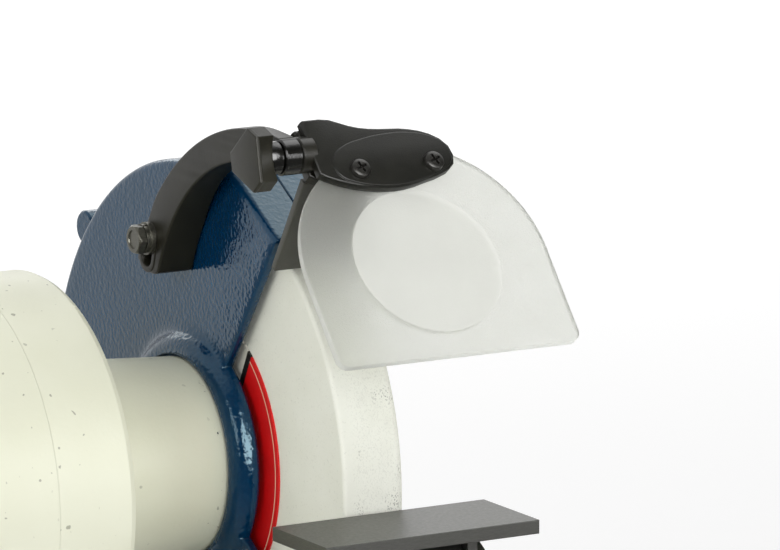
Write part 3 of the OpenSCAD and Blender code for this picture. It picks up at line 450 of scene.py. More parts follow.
class Paint(Enum):
    """The finishes of the machine."""

    NAVY = Enamel(
        "gloss_navy", rgb(1, 46, 79), rgb(0, 42, 73),
        patch=40.0, gloss=0.11, spread=0.03, relief=0.42, edge=0.5, specular=0.52,
    )
    CREAM = CastPaint(
        "cast_cream", rgb(225, 226, 206), rgb(220, 221, 199), patch=45.0, spread=0.06, grain=1.6, edge=0.6
    )
    WHEEL = Abrasive(
        "white_grit", rgb(230, 231, 221), rgb(226, 227, 216),
        patch=22.0, gloss=0.92, spread=0.03, relief=0.35, edge=0.1,
    )
    LABEL = Label(
        "printed_disc", rgb(216, 4, 8), rgb(208, 3, 7),
        patch=20.0, gloss=0.5, relief=0.08, grain=0.6, edge=0.05,
    )
    ARM = Finish("satin_arm", rgb(33, 32, 24), rgb(28, 27, 20), patch=14.0, specular=0.27)
    KNOB = Finish(
        "satin_knob", rgb(35, 34, 25), rgb(30, 29, 22),
        patch=9.0, gloss=0.36, relief=0.14, grain=0.4, specular=0.27,
    )
    HOLDER = Finish(
        "satin_holder", rgb(24, 24, 19), rgb(20, 20, 16), patch=12.0, gloss=0.33, edge=0.35, specular=0.33
    )
    HOLDER_BACK = Finish(
        "satin_back", rgb(30, 29, 23), rgb(25, 24, 19),
        patch=12.0, gloss=0.36, relief=0.10, edge=0.35, specular=0.35,
    )
    GLOSSY = Finish(
        "gloss_black", rgb(19, 19, 16), rgb(14, 14, 12),
        gloss=0.16, spread=0.04, relief=0.10, grain=0.9, edge=0.3,
    )
    SHEET = Finish(
        "black_sheet", rgb(74, 74, 68), rgb(67, 67, 61), patch=18.0, gloss=0.42, grain=0.7, specular=0.4
    )
    ZINC = Brushed(
        "bright_zinc", rgb(120, 122, 112), rgb(84, 86, 78),
        gloss=0.34, spread=0.08, relief=0.05, edge=0.3, metallic=0.9,
    )
    DARK_ZINC = Brushed(
        "dark_zinc", rgb(97, 96, 87), rgb(73, 72, 65),
        gloss=0.32, spread=0.06, relief=0.05, grain=0.4, edge=0.25, metallic=0.75,
    )
    BLACK_ZINC = Brushed(
        "black_zinc", rgb(40, 39, 35), rgb(30, 29, 26),
        gloss=0.3, relief=0.05, grain=0.4, edge=0.25, metallic=0.3,
    )
    REST = Brushed(
        "ground_rest", rgb(104, 104, 100), rgb(90, 90, 87),
        spread=0.08, relief=0.08, grain=0.6, edge=0.5, metallic=0.85,
    )
    BRACKET = Finish(
        "bracket_black", rgb(38, 38, 36), rgb(31, 31, 30),
        patch=16.0, spread=0.06, relief=0.14, grain=0.9, edge=0.6,
    )
    GROUND = Brushed(
        "ground_bright", rgb(190, 190, 186), rgb(160, 160, 156),
        gloss=0.25, spread=0.06, relief=0.04, edge=0.3, metallic=1.0,
    )
    IRON = Brushed(
        "stacked_iron", rgb(112, 110, 106), rgb(88, 87, 84),
        gloss=0.45, spread=0.08, relief=0.3, edge=0.1, metallic=0.8, lines=(30.0, 1.0, 1.0),
    )
    COPPER = Copper(
        "wound_copper", rgb(184, 110, 66), rgb(150, 82, 48),
        gloss=0.3, spread=0.06, relief=0.6, edge=0.1, metallic=0.9,
    )
    CAN = Finish("can_grey", rgb(60, 60, 62), rgb(50, 50, 52), patch=15.0, relief=0.1, grain=0.6, edge=0.5)
    GREEN = Finish(
        "button_green", rgb(30, 120, 52), rgb(26, 108, 46), gloss=0.3, spread=0.04, relief=0.08, edge=0.6
    )
    RED = Finish(
        "button_red", rgb(186, 26, 24), rgb(170, 20, 20), gloss=0.3, spread=0.04, relief=0.08, edge=0.6
    )
    MARK = Finish(
        "mark_pale", rgb(236, 236, 232), rgb(226, 226, 222),
        patch=3.0, spread=0.03, relief=0.05, grain=0.3, edge=0.1,
    )
    RUBBER = Finish(
        "foot_rubber", rgb(22, 22, 22), rgb(30, 30, 29),
        patch=9.0, gloss=0.75, spread=0.06, relief=0.3, edge=0.8,
    )
    SHIELD = Frosted(
        "etched_clear", rgb(233, 234, 229), rgb(229, 230, 224),
        patch=26.0, gloss=0.5, spread=0.02, relief=0.5, grain=0.45, edge=0.2, specular=0.3,
    )
    LENS = Frosted(
        "etched_lens", rgb(229, 230, 224), rgb(226, 227, 221),
        patch=18.0, gloss=0.55, spread=0.02, relief=0.10, grain=0.7, edge=0.12, specular=0.3, clear=0.4,
    )

    def material(self) -> bpy.types.Material:
        """The material, made the first time that it is asked for."""
        return bpy.data.materials.get(self.value.name) or self.value.make()


# ------------------------------------------------------------------ places and outlines


class Side(Enum):
    """The two stations."""

    RIGHT = 1
    LEFT = -1

    def of(self, name: str) -> str:
        """A name with this station's ending."""
        return f"{name}_{self.name.lower()}"

    def station(self) -> Matrix:
        """From a station's millimetres (X = 0 on the wheel's inner face) to the frame's metres."""
        scale = Matrix.Diagonal((self.value * MM, MM, MM, 1.0))
        return scale @ Matrix.Translation((WHEEL_X, 0.0, SHAFT_HEIGHT))


ALONG_X = Matrix(((0, 0, 1, 0), (1, 0, 0, 0), (0, 1, 0, 0), (0, 0, 0, 1)))
AT_BOLT = Matrix.Translation((0.0, BOLT_Y, BOLT_Z))
AT_PIVOT = Matrix.Translation((0.0, PIVOT_Y, PIVOT_Z))
ON_SHIELD = AT_PIVOT @ Matrix.Rotation(math.radians(90.0 - SHIELD_TILT), 4, "X")
ON_FLAT = Matrix.Rotation(math.radians(90.0 - FLAT_ANGLE), 4, "X")


def polar(radius: float, angle: float) -> Pair:
    """A point at a radius and an angle in degrees."""
    turn = math.radians(angle)
    return (radius * math.cos(turn), radius * math.sin(turn))


def round_spindle(radius: float, angle: float) -> Pair:
    """Y and Z of a point round the spindle, its angle in degrees above the front horizontal."""
    forward, up = polar(radius, angle)
    return (-forward, up)


def arc(centre: Pair, radius: float, start: float, end: float, count: int = 6) -> list[Pair]:
    """Points of an arc.

    Args:
        centre: its centre.
        radius: its radius.
        start: where it begins, in degrees.
        end: where it ends, in degrees.
        count: how many steps it has.

    Returns:
        The points, both ends among them.
    """
    out = []
    for k in range(count + 1):
        x, y = polar(radius, start + (end - start) * k / count)
        out.append((centre[0] + x, centre[1] + y))
    return out


# ------------------------------------------------------------------ shapes

SMOOTH_ANGLE = 32.0  # faces that meet at less are shaded as one surface
EDGE_ANGLE = 50.0  # faces that meet at more get a rounded edge


def linked(name: str, data: Any) -> bpy.types.Object:
    """A new object at the origin of the scene."""
    made = bpy.data.objects.new(name, data)
    bpy.context.scene.collection.objects.link(made)
    return made


def shade(mesh: bpy.types.Mesh, angle: float) -> None:
    """Shades a mesh smooth, apart from edges over an angle."""
    mesh.shade_smooth()
    mesh.set_sharp_from_angle(angle=math.radians(angle))


def plain_mesh(made: bpy.types.Object) -> bpy.types.Mesh:
    """A plain mesh of a curve, or of a mesh with its modifiers."""
    graph = bpy.context.evaluated_depsgraph_get()
    return bpy.data.meshes.new_from_object(made.evaluated_get(graph), depsgraph=graph)


def bake_modifiers(made: bpy.types.Object) -> None:
    """Turns an object's modifiers into plain mesh and removes them."""
    mesh = plain_mesh(made)
    old = made.data
    made.modifiers.clear()
    made.data = mesh
    bpy.data.meshes.remove(old)


def finish_piece(made: bpy.types.Object, body: str, replaces: Iterable[str] = ()) -> None:
    """Lets a piece ride on its body and hides what it stands for.

    Args:
        made: the piece.
        body: the body that it moves with.
        replaces: the frame's nodes that it stands for.
    """
    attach(made, body)
    names = list(replaces)
    if names:
        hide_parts(*names)
    LOG.info("%s: %d faces on %s", made.name, len(made.data.polygons), body)


@dataclass
class Shape:
    """Collects closed parts of one piece in millimetres and turns them into an object."""

    name: str
    parts: bmesh.types.BMesh = field(default_factory=bmesh.new)

    def add_mesh(self, mesh: bpy.types.Mesh, place: Matrix) -> None:
        """Adds a mesh, with its doubles merged and its faces turned outwards.

        Args:
            mesh: the mesh, which is removed afterwards.
            place: from its own millimetres to the frame's metres.
        """
        mesh.transform(place)
        part = bmesh.new()
        part.from_mesh(mesh)
        bmesh.ops.remove_doubles(part, verts=part.verts, dist=1e-6)
        loose = [v for v in part.verts if not v.link_faces]
        bmesh.ops.delete(part, geom=loose, context="VERTS")
        bmesh.ops.recalc_face_normals(part, faces=part.faces)
        part.to_mesh(mesh)
        part.free()
        self.parts.from_mesh(mesh)
        bpy.data.meshes.remove(mesh)

    def add_part(self, part: bmesh.types.BMesh, place: Matrix) -> None:
        """Adds a bmesh at a place, and frees it."""
        mesh = bpy.data.meshes.new("part")
        part.to_mesh(mesh)
        part.free()
        self.add_mesh(mesh, place)

    def slab(
        self,
        loops: Sequence[Sequence[Pair]],
        low: float,
        high: float,
        place: Matrix,
        bevel: float,
        steps: int = 3,
        smooth: bool = False,
    ) -> None:
        """Adds a flat plate with rounded edges and holes.

        Args:
            loops: the outline, then any holes, as points in the plate's own plane.
            low: where the plate begins on its third axis.
            high: where it ends.
            place: from the plate's millimetres to the frame's metres.
            bevel: radius of its edges.
            steps: how finely the edges are rounded.
            smooth: whether a curve passes through the points.
        """
        curve = bpy.data.curves.new("slab", "CURVE")
        curve.dimensions = "2D"
        curve.fill_mode = "BOTH"
        curve.resolution_u = 5
        curve.extrude = (high - low) / 2 - bevel
        curve.bevel_depth = bevel
        curve.bevel_resolution = steps
        curve.offset = -bevel
        for loop in loops:
            spline = curve.splines.new("BEZIER" if smooth else "POLY")
            points = spline.bezier_points if smooth else spline.points
            points.add(len(loop) - 1)
            for point, (u, v) in zip(points, loop):
                if smooth:
                    point.co = (u, v, 0.0)
                    point.handle_left_type = point.handle_right_type = "AUTO"
                else:
                    point.co = (u, v, 0.0, 1.0)
            spline.use_cyclic_u = True
        made = linked("slab", curve)
        bpy.context.view_layer.update()
        mesh = plain_mesh(made)
        bpy.data.objects.remove(made)
        bpy.data.curves.remove(curve)
        self.add_mesh(mesh, place @ Matrix.Translation((0.0, 0.0, (low + high) / 2)))

    def turned(
        self,
        profile: Sequence[Pair],
        place: Matrix,
        count: int,
        reach: Callable[[float, float], float] | None = None,
        span: Pair | None = None,
    ) -> None:
        """Adds a closed profile turned round the X axis.

        Args:
            profile: points (radius, x) of the closed profile.
            place: from its millimetres to the frame's metres.
            count: how many steps a full turn has.
            reach: gives the true radius from a profile radius and an angle in degrees.
            span: first and last angle above the front horizontal, or None for a full turn.
        """
        part = bmesh.new()
        first, last = span or (0.0, 360.0)
        steps = max(3, round(count * (last - first) / 360.0))
        rings = []
        for k in range(steps + 1 if span else steps):
            angle = first + (last - first) * k / steps
            ring = []
            for radius, x in profile:
                y, z = round_spindle(reach(radius, angle) if reach else radius, angle)
                ring.append(part.verts.new((x, y, z)))
            rings.append(ring)
        following = rings[1:] if span else rings[1:] + rings[:1]
        for a, b in zip(rings, following):
            for i in range(len(profile)):
                j = (i + 1) % len(profile)
                if (a[i].co - a[j].co).length > 1e-7:
                    part.faces.new((a[i], a[j], b[j], b[i]))
        if span:
            part.faces.new(rings[0])
            part.faces.new(list(reversed(rings[-1])))
        bmesh.ops.remove_doubles(part, verts=part.verts, dist=1e-5)
        bmesh.ops.dissolve_degenerate(part, edges=part.edges, dist=1e-6)
        self.add_part(part, place)

    def block(self, low: Triple, high: Triple, place: Matrix, bevel: float) -> None:
        """Adds a box with rounded edges.

        Args:
            low: its lowest corner.
            high: its highest corner.
            place: from its millimetres to the frame's metres.
            bevel: radius of its edges.
        """
        part = bmesh.new()
        bmesh.ops.create_cube(part, size=1.0)
        for vert in part.verts:
            vert.co = [a + (share + 0.5) * (b - a) for a, b, share in zip(low, high, vert.co)]
        bmesh.ops.bevel(part, geom=part.edges[:], offset=bevel, segments=3, profile=0.5, affect="EDGES")
        self.add_part(part, place)

    def done(
        self,
        body: str,
        paint: Paint,
        replaces: Iterable[str] = (),
        bevel: float = 0.0,
        angle: float = SMOOTH_ANGLE,
    ) -> bpy.types.Object:
        """Makes the object, dresses it and lets it ride.

        Args:
            body: the body that it moves with.
            paint: its finish.
            replaces: the frame's nodes that it stands for.
            bevel: radius to put on its edges.
            angle: the greatest angle that is shaded smooth.

        Returns:
            The object.
        """
        mesh = bpy.data.meshes.new(self.name)
        self.parts.to_mesh(mesh)
        self.parts.free()
        shade(mesh, angle)
        made = linked(self.name, mesh)
        if bevel:
            modifier = made.modifiers.new("edges", "BEVEL")
            modifier.width = bevel * MM
            modifier.segments = 3
            modifier.limit_method = "ANGLE"
            modifier.angle_limit = math.radians(EDGE_ANGLE)
            bake_modifiers(made)
            shade(made.data, angle)
        made.data.materials.clear()
        made.data.materials.append(paint.material())
        finish_piece(made, body, replaces)
        return made


# ------------------------------------------------------------------ fasteners


class Head(Enum):
    """Kinds of screw head."""

    HEX = "hex"
    PAN = "pan"


Frustum = tuple[float, float, float, float]  # bottom and top radius, foot and depth, as shares of a head


@dataclass
class Screws:
    """A set of like screws, laid out by a node tree."""

    name: str
    head: Head
    radius: float
    height: float
    shank_r: float
    shank: float
    places: list[Matrix] = field(default_factory=list)
    cross: Triple = (1.14, 0.25, 0.6)  # length, width and depth of its cross, as shares of the head
    cross_turn: float = 20.0
    chamfer: Frustum = (1.3, 0.83, -0.01, 1.02)
    dish: Frustum = (0.58, 0.66, 0.84, 0.4)
    dome: tuple[Frustum, ...] = ((1.0, 0.985, 0.0, 0.55), (0.985, 0.9, 0.55, 0.27), (0.9, 0.7, 0.82, 0.18))

    def sizes(self) -> dict[str, float]:
        """The tree's inputs, in metres."""
        return {
            "Head Radius": self.radius * MM,
            "Head Height": self.height * MM,
            "Shank Radius": self.shank_r * MM,
            "Shank Length": self.shank * MM,
            "Recess": self.height * self.cross[2] * MM,
        }

    def tree(self, paint: Paint) -> bpy.types.NodeTree:
        """Builds the tree: a head and a shank, set on every point and turned by its own angle.

        Args:
            paint: the finish of the screws.

        Returns:
            The tree.
        """
        tree = bpy.data.node_groups.new(self.name + "_tree", "GeometryNodeTree")
        face = tree.interface
        face.new_socket("Geometry", in_out="INPUT", socket_type="NodeSocketGeometry")
        for label in self.sizes():
            face.new_socket(label, in_out="INPUT", socket_type="NodeSocketFloat")
        face.new_socket("Geometry", in_out="OUTPUT", socket_type="NodeSocketGeometry")
        graph = Graph(tree)
        entry = tree.nodes.new("NodeGroupInput")
        given = {s.name: Value(graph, s) for s in entry.outputs if s.name}
        shank = self.cylinder(graph, 24, given["Shank Radius"], given["Shank Length"])
        sink = given["Shank Length"] * -0.5 + 0.1 * MM
        parts = [self.hex_head(graph, given) if self.head is Head.HEX else self.pan_head(graph, given)]
        parts.append(self.lifted(graph, shank, sink))
        whole = graph.node("GeometryNodeJoinGeometry", None, {0: parts})
        turn = graph.node("GeometryNodeInputNamedAttribute", {"data_type": "FLOAT_VECTOR"}, {"Name": "turn"})
        layout = {
            "Points": graph.node("GeometryNodeMeshToPoints", None, {"Mesh": given["Geometry"], "Radius": MM}),
            "Instance": whole,
            "Rotation": graph.node("FunctionNodeEulerToRotation", None, {0: turn}),
        }
        laid = graph.node("GeometryNodeInstanceOnPoints", None, layout)
        real = graph.node("GeometryNodeRealizeInstances", None, {"Geometry": laid})
        dressed = {"Geometry": real, "Material": paint.material()}
        graph.node("NodeGroupOutput", None, {0: graph.node("GeometryNodeSetMaterial", None, dressed)})
        return tree

    @staticmethod
    def lifted(graph: Graph, shape: Value, up: Value) -> Value:
        """Moves a shape along its own axis."""
        offset = graph.node("ShaderNodeCombineXYZ", None, {"Z": up})
        return graph.node("GeometryNodeTransform", None, {"Geometry": shape, "Translation": offset})

    @staticmethod
    def cylinder(graph: Graph, sides: int, radius: Value, depth: Value) -> Value:
        """A closed prism, round the middle of its axis."""
        inputs = {"Vertices": sides, "Radius": radius, "Depth": depth}
        return graph.node("GeometryNodeMeshCylinder", {"fill_type": "NGON"}, inputs)

    @staticmethod
    def boolean(graph: Graph, operation: str, inputs: dict[int, Any]) -> Value:
        """What an exact boolean operation makes of closed shapes."""
        return graph.node("GeometryNodeMeshBoolean", {"operation": operation, "solver": "EXACT"}, inputs)

    def frustum(self, graph: Graph, given: dict[str, Value], sides: int, shares: Frustum) -> Value:
        """A closed cone frustum.

        Args:
            graph: the tree's graph.
            given: the tree's inputs.
            sides: how many sides it has.
            shares: its sizes as shares of the head's.

        Returns:
            The shape.
        """
        bottom, top, foot, depth = shares
        radius, height = given["Head Radius"], given["Head Height"]
        inputs = {"Radius Top": radius * top, "Radius Bottom": radius * bottom, "Depth": height * depth}
        made = graph.node("GeometryNodeMeshCone", {"fill_type": "NGON"}, {"Vertices": sides, **inputs})
        return self.lifted(graph, made, height * foot)

    def hex_head(self, graph: Graph, given: dict[str, Value]) -> Value:
        """Six flats with the turned chamfer and the dished top that a real head has."""
        height = given["Head Height"]
        prism = self.lifted(graph, self.cylinder(graph, 6, given["Head Radius"], height), height * 0.5)
        cutter = self.frustum(graph, given, 48, self.chamfer)
        whole = self.boolean(graph, "INTERSECT", {1: [prism, cutter]})
        return self.boolean(graph, "DIFFERENCE", {0: whole, 1: self.frustum(graph, given, 36, self.dish)})

    def pan_head(self, graph: Graph, given: dict[str, Value]) -> Value:
        """A domed head with a cross recess."""
        radius = given["Head Radius"]
        length, width, _ = self.cross
        layers = [self.frustum(graph, given, 40, shares) for shares in self.dome]
        sides = {"X": radius * length, "Y": radius * width, "Z": given["Recess"] * 2.0}
        size = graph.node("ShaderNodeCombineXYZ", None, sides)
        bar = graph.node("GeometryNodeMeshCube", None, {"Size": size})
        where = graph.node("ShaderNodeCombineXYZ", None, {"Z": given["Head Height"]})
        cross = []
        for angle in (0.0, 90.0):
            turn = (0.0, 0.0, math.radians(angle + self.cross_turn))
            inputs = {"Geometry": bar, "Translation": where, "Rotation": turn}
            cross.append(graph.node("GeometryNodeTransform", None, inputs))
        whole = graph.node("GeometryNodeJoinGeometry", None, {0: layers})
        return self.boolean(graph, "DIFFERENCE", {0: whole, 1: cross})

    def build(self, body: str, slot: str, paint: Paint, replaces: Iterable[str]) -> None:
        """Lays the screws out and turns them into one mesh.

        Args:
            body: the body that they move with.
            slot: the record's material slot; not used.
            paint: their finish.
            replaces: the frame's nodes that they stand for.
        """
        mesh = bpy.data.meshes.new(self.name)
        mesh.from_pydata([tuple(m.translation) for m in self.places], [], [])
        turn = mesh.attributes.new("turn", "FLOAT_VECTOR", "POINT")
        for k, place in enumerate(self.places):
            turn.data[k].vector = place.to_euler()
        made = linked(self.name, mesh)
        modifier = made.modifiers.new("screws", "NODES")
        modifier.node_group = self.tree(paint)
        sizes = self.sizes()
        for item in modifier.node_group.interface.items_tree:
            if item.in_out == "INPUT" and item.name in sizes:
                modifier[item.identifier] = sizes[item.name]
        bpy.context.view_layer.update()
        bake_modifiers(made)
        shade(made.data, 28.0)
        finish_piece(made, body, replaces)


def facing(side: Side, at: Triple, axis: Triple, frame: Matrix | None = None) -> Matrix:
    """Where a screw goes: its seat and its head's direction, in metres.

    Args:
        side: the station.
        at: the seat, in millimetres of the station or of frame.
        axis: the way the head points.
        frame: a frame inside the station.

    Returns:
        A turn and a place without scale.
    """
    to = side.station() @ (frame or Matrix.Identity(4))
    way = (to.to_3x3() @ Vector(axis)).normalized()
    return Matrix.Translation(to @ Vector(at)) @ way.to_track_quat("Z", "Y").to_matrix().to_4x4()


# ------------------------------------------------------------------ guard and deflector


@dataclass
class Guard:
    """The cast guard and its outer cover."""

    side: Side
    rim: float = 108.2  # outer radius of the round part
    flat_n: float = 109.4  # from the spindle to the flat
    flat_back: float = 36.0  # from the middle of the flat to its rear end
    flat_lead: float = -20.0  # where the flat begins, in degrees from its middle
    hump_end: float = 91.6  # where the hump runs into the round part, in degrees
    blend: Pair = (12.0, 6.5)  # from the rim inwards, where the plate begins and ends to follow the hump
    wall: float = 3.5
    back: float = 6.7  # the outside of the plate, from the wheel's inner face
    seam: float = 10.0  # where the casting and the cover meet
    cover_x: float = 38.0  # the outside of the cover
    crown_x: float = 49.0  # the outside of the cover's crown
    crown_r: float = 56.0
    crown_foot: float = 63.0
    cover_wall: float = 2.5
    mouth_top: float = 55.0  # the mouth's ends, in degrees above and below the front
    mouth_low: float = 32.0
    boss_r: float = 45.6
    boss_round: Pair = (7.0, 8.0)  # width and depth of its rounded shoulder
    boss_x: float = 12.5  # the boss's face
    floor_x: float = 10.5  # the floor inside the boss
    floor_r: float = 36.0
    bore_r: float = 14.0
    neck_r: float = 37.4
    round_r: float = 2.5
    lug_out: float = 112.5
    lug_r: float = 6.5
    lug_edge: float = 0.7
    lug_x: tuple[Pair, ...] = ((-3.0, 9.9), (10.1, 16.0))  # on the casting, on the cover
    lug_angles: Triple = (142.0, 222.0, 298.0)
    carrier: tuple[Triple, Triple] = ((11.5, -13.1, 105.9), (21.0, 2.0, 131.4))  # holds the deflector

    def hump(self, angle: float) -> float:
        """Distance from the axis to the hump's outline in a direction, or 0 outside the hump."""
        lean = angle - FLAT_ANGLE
        corner = math.degrees(math.atan2(self.flat_back, self.flat_n))
        if self.flat_lead < lean <= corner:
            return self.flat_n / math.cos(math.radians(lean))
        if corner < lean and angle <= self.hump_end:
            top = Vector(round_spindle(math.hypot(self.flat_n, self.flat_back), FLAT_ANGLE + corner))
            step = Vector(round_spindle(self.rim, self.hump_end)) - top
            way = Vector(round_spindle(1.0, angle))
            return (top.x * step.y - top.y * step.x) / (way.x * step.y - way.y * step.x)
        return 0.0

    def reach(self, radius: float, angle: float) -> float:
        """True radius of a profile point: near the rim it follows the hump.

        Args:
            radius: the profile's radius, drawn for the round part.
            angle: degrees above the front horizontal.

        Returns:
            The radius there.
        """
        begin, end = self.blend
        inner = self.rim - begin
        if radius <= inner:
            return radius
        rise = max(self.hump(angle) - self.rim, 0.0)
        return radius + rise * min((radius - inner) / (begin - end), 1.0)

    def shell(self, shape: Shape, profile: Sequence[Pair]) -> None:
        """Turns a profile along the closed part of the guard, from mouth to mouth."""
        span = (self.mouth_top, 360.0 - self.mouth_low)
        shape.turned(profile, self.side.station(), 180, self.reach, span)

    def lugs(self, shape: Shape, ends: Pair) -> None:
        """Adds the three round lugs with softened ends, from one X to another."""
        low, high = ends
        r, e = self.lug_r, self.lug_edge
        profile = [(0.0, low), (r - e, low), (r, low + e), (r, high - e), (r - e, high), (0.0, high)]
        for angle in self.lug_angles:
            middle = Matrix.Translation((0.0, *round_spindle(self.lug_out, angle)))
            shape.turned(profile, self.side.station() @ middle, 40)

    def casting(self) -> None:
        """The casting: plate, band and the boss round the neck."""
        shape = Shape(self.side.of("guard_shell"))
        w, r, neck = self.wall, self.round_r, self.neck_r
        plate, boss, floor = -self.back, -self.boss_x, -self.floor_x
        ring = [(self.bore_r, floor), (neck, floor)]
        ring += [(neck, boss + 0.5), (neck + 0.15, boss + 0.15), (neck + 0.5, boss)]
        wide, deep = self.boss_round
        for x, y in arc((0.0, 0.0), 1.0, 84.0, 0.0, 12):
            ring.append((self.boss_r - wide + wide * x, boss + deep - deep * y))
        ring += [(self.boss_r - 0.8, plate + w), (self.floor_r, plate + w)]
        ring += [(self.floor_r, floor + w), (self.bore_r, floor + w)]
        shape.turned(ring, self.side.station(), 144)
        fillet = [(43.0, 2.5), (44.2, 2.35), (45.0, 1.5), (45.9, 0.85), (47.0, 0.4), (48.4, 0.1)]
        outer = [(radius, plate - proud) for radius, proud in fillet]
        outer += [(radius, plate) for radius in (50.0, 60.0, 75.0, 90.0, *(self.rim - b for b in self.blend))]
        outer += [(x, -y) for x, y in arc((self.rim - r, self.back - r), r, 90.0, 0.0)]
        outer += [(self.rim, self.seam - 0.45), (self.rim - 0.45, self.seam)]
        inner = [(self.rim - w, self.seam), (self.rim - w, plate + w + 2.0), (self.rim - w - 2.0, plate + w)]
        inner += [(90.0, plate + w), (60.0, plate + w), (self.boss_r - 1.2, plate + w)]
        self.shell(shape, outer + inner)
        self.lugs(shape, self.lug_x[0])
        shape.done("motor", Paint.NAVY, [self.side.of("guard")], bevel=0.9)

    def cover(self) -> None:
        """The pressed cover with its crown over the nut, and the block that carries the deflector."""
        place = self.side.station()
        shape = Shape(self.side.of("guard_cover_shell"))
        s, c, w, r = self.seam, self.cover_x, self.cover_wall, self.round_r
        top, foot, edge = self.crown_r, self.crown_foot, self.crown_x
        crown = [(0.0, edge), (top - 4.0, edge), (top - 1.6, edge - 0.8), (top + 0.2, edge - 2.6)]
        crown += [(foot - 1.2, c + 1.4), (foot, c + 0.4), (foot + 1.2, c), (66.0, c)]
        crown += [(66.0, c - w), (foot - w, c - w), (top - w, edge - w), (0.0, edge - w)]
        shape.turned(crown, place, 144)
        outer = [(radius, c) for radius in (64.5, 75.0, 90.0, *(self.rim - b for b in self.blend))]
        outer += arc((self.rim - r, c - r), r, 90.0, 0.0)
        outer += [(self.rim, s + 0.5), (self.rim - 0.5, s + 0.05)]
        inside = self.rim - w - 1.0
        inner = [(inside, s + 0.05), (inside, c - w - 2.0), (inside - 2.0, c - w)]
        inner += [(90.0, c - w), (64.5, c - w)]
        self.shell(shape, outer + inner)
        self.lugs(shape, self.lug_x[1])
        shape.block(*self.carrier, place @ ON_FLAT, bevel=0.9)
        shape.done("motor", Paint.NAVY, [self.side.of("guard_cover")], bevel=0.8)

    def build(self) -> None:
        """Makes the guard's pieces."""
        self.casting()
        self.cover()


@dataclass
class Deflector:
    """The flat steel plate over the mouth of a guard, drawn on the guard's flat."""

    side: Side
    x: Pair = (-9.3, 21.7)
    y: Pair = (13.41, 16.41)
    z: Pair = (102.6, 143.6)
    slot_x: float = 16.25
    slot_z: Pair = (113.5, 127.5)
    slot_r: float = 2.9

    def build(self) -> None:
        """Makes the plate with its slot."""
        shape = Shape(self.side.of("deflector_plate"))
        (left, right), (bottom, top), (low, high) = self.x, self.z, self.slot_z
        outline = [(left, bottom), (right, bottom), (right, top), (left, top)]
        slot = arc((self.slot_x, high), self.slot_r, 0.0, 180.0, 12)
        slot += arc((self.slot_x, low), self.slot_r, 180.0, 360.0, 12)
        upright = ON_FLAT @ Matrix(((1, 0, 0, 0), (0, 0, -1, 0), (0, 1, 0, 0), (0, 0, 0, 1)))
        shape.slab([outline, slot], *self.y, self.side.station() @ upright, bevel=0.45, steps=2)
        body = self.side.of("deflector")
        shape.done(body, Paint.SHEET, [self.side.of("spark_deflector")])


# ------------------------------------------------------------------ shield arm and shield


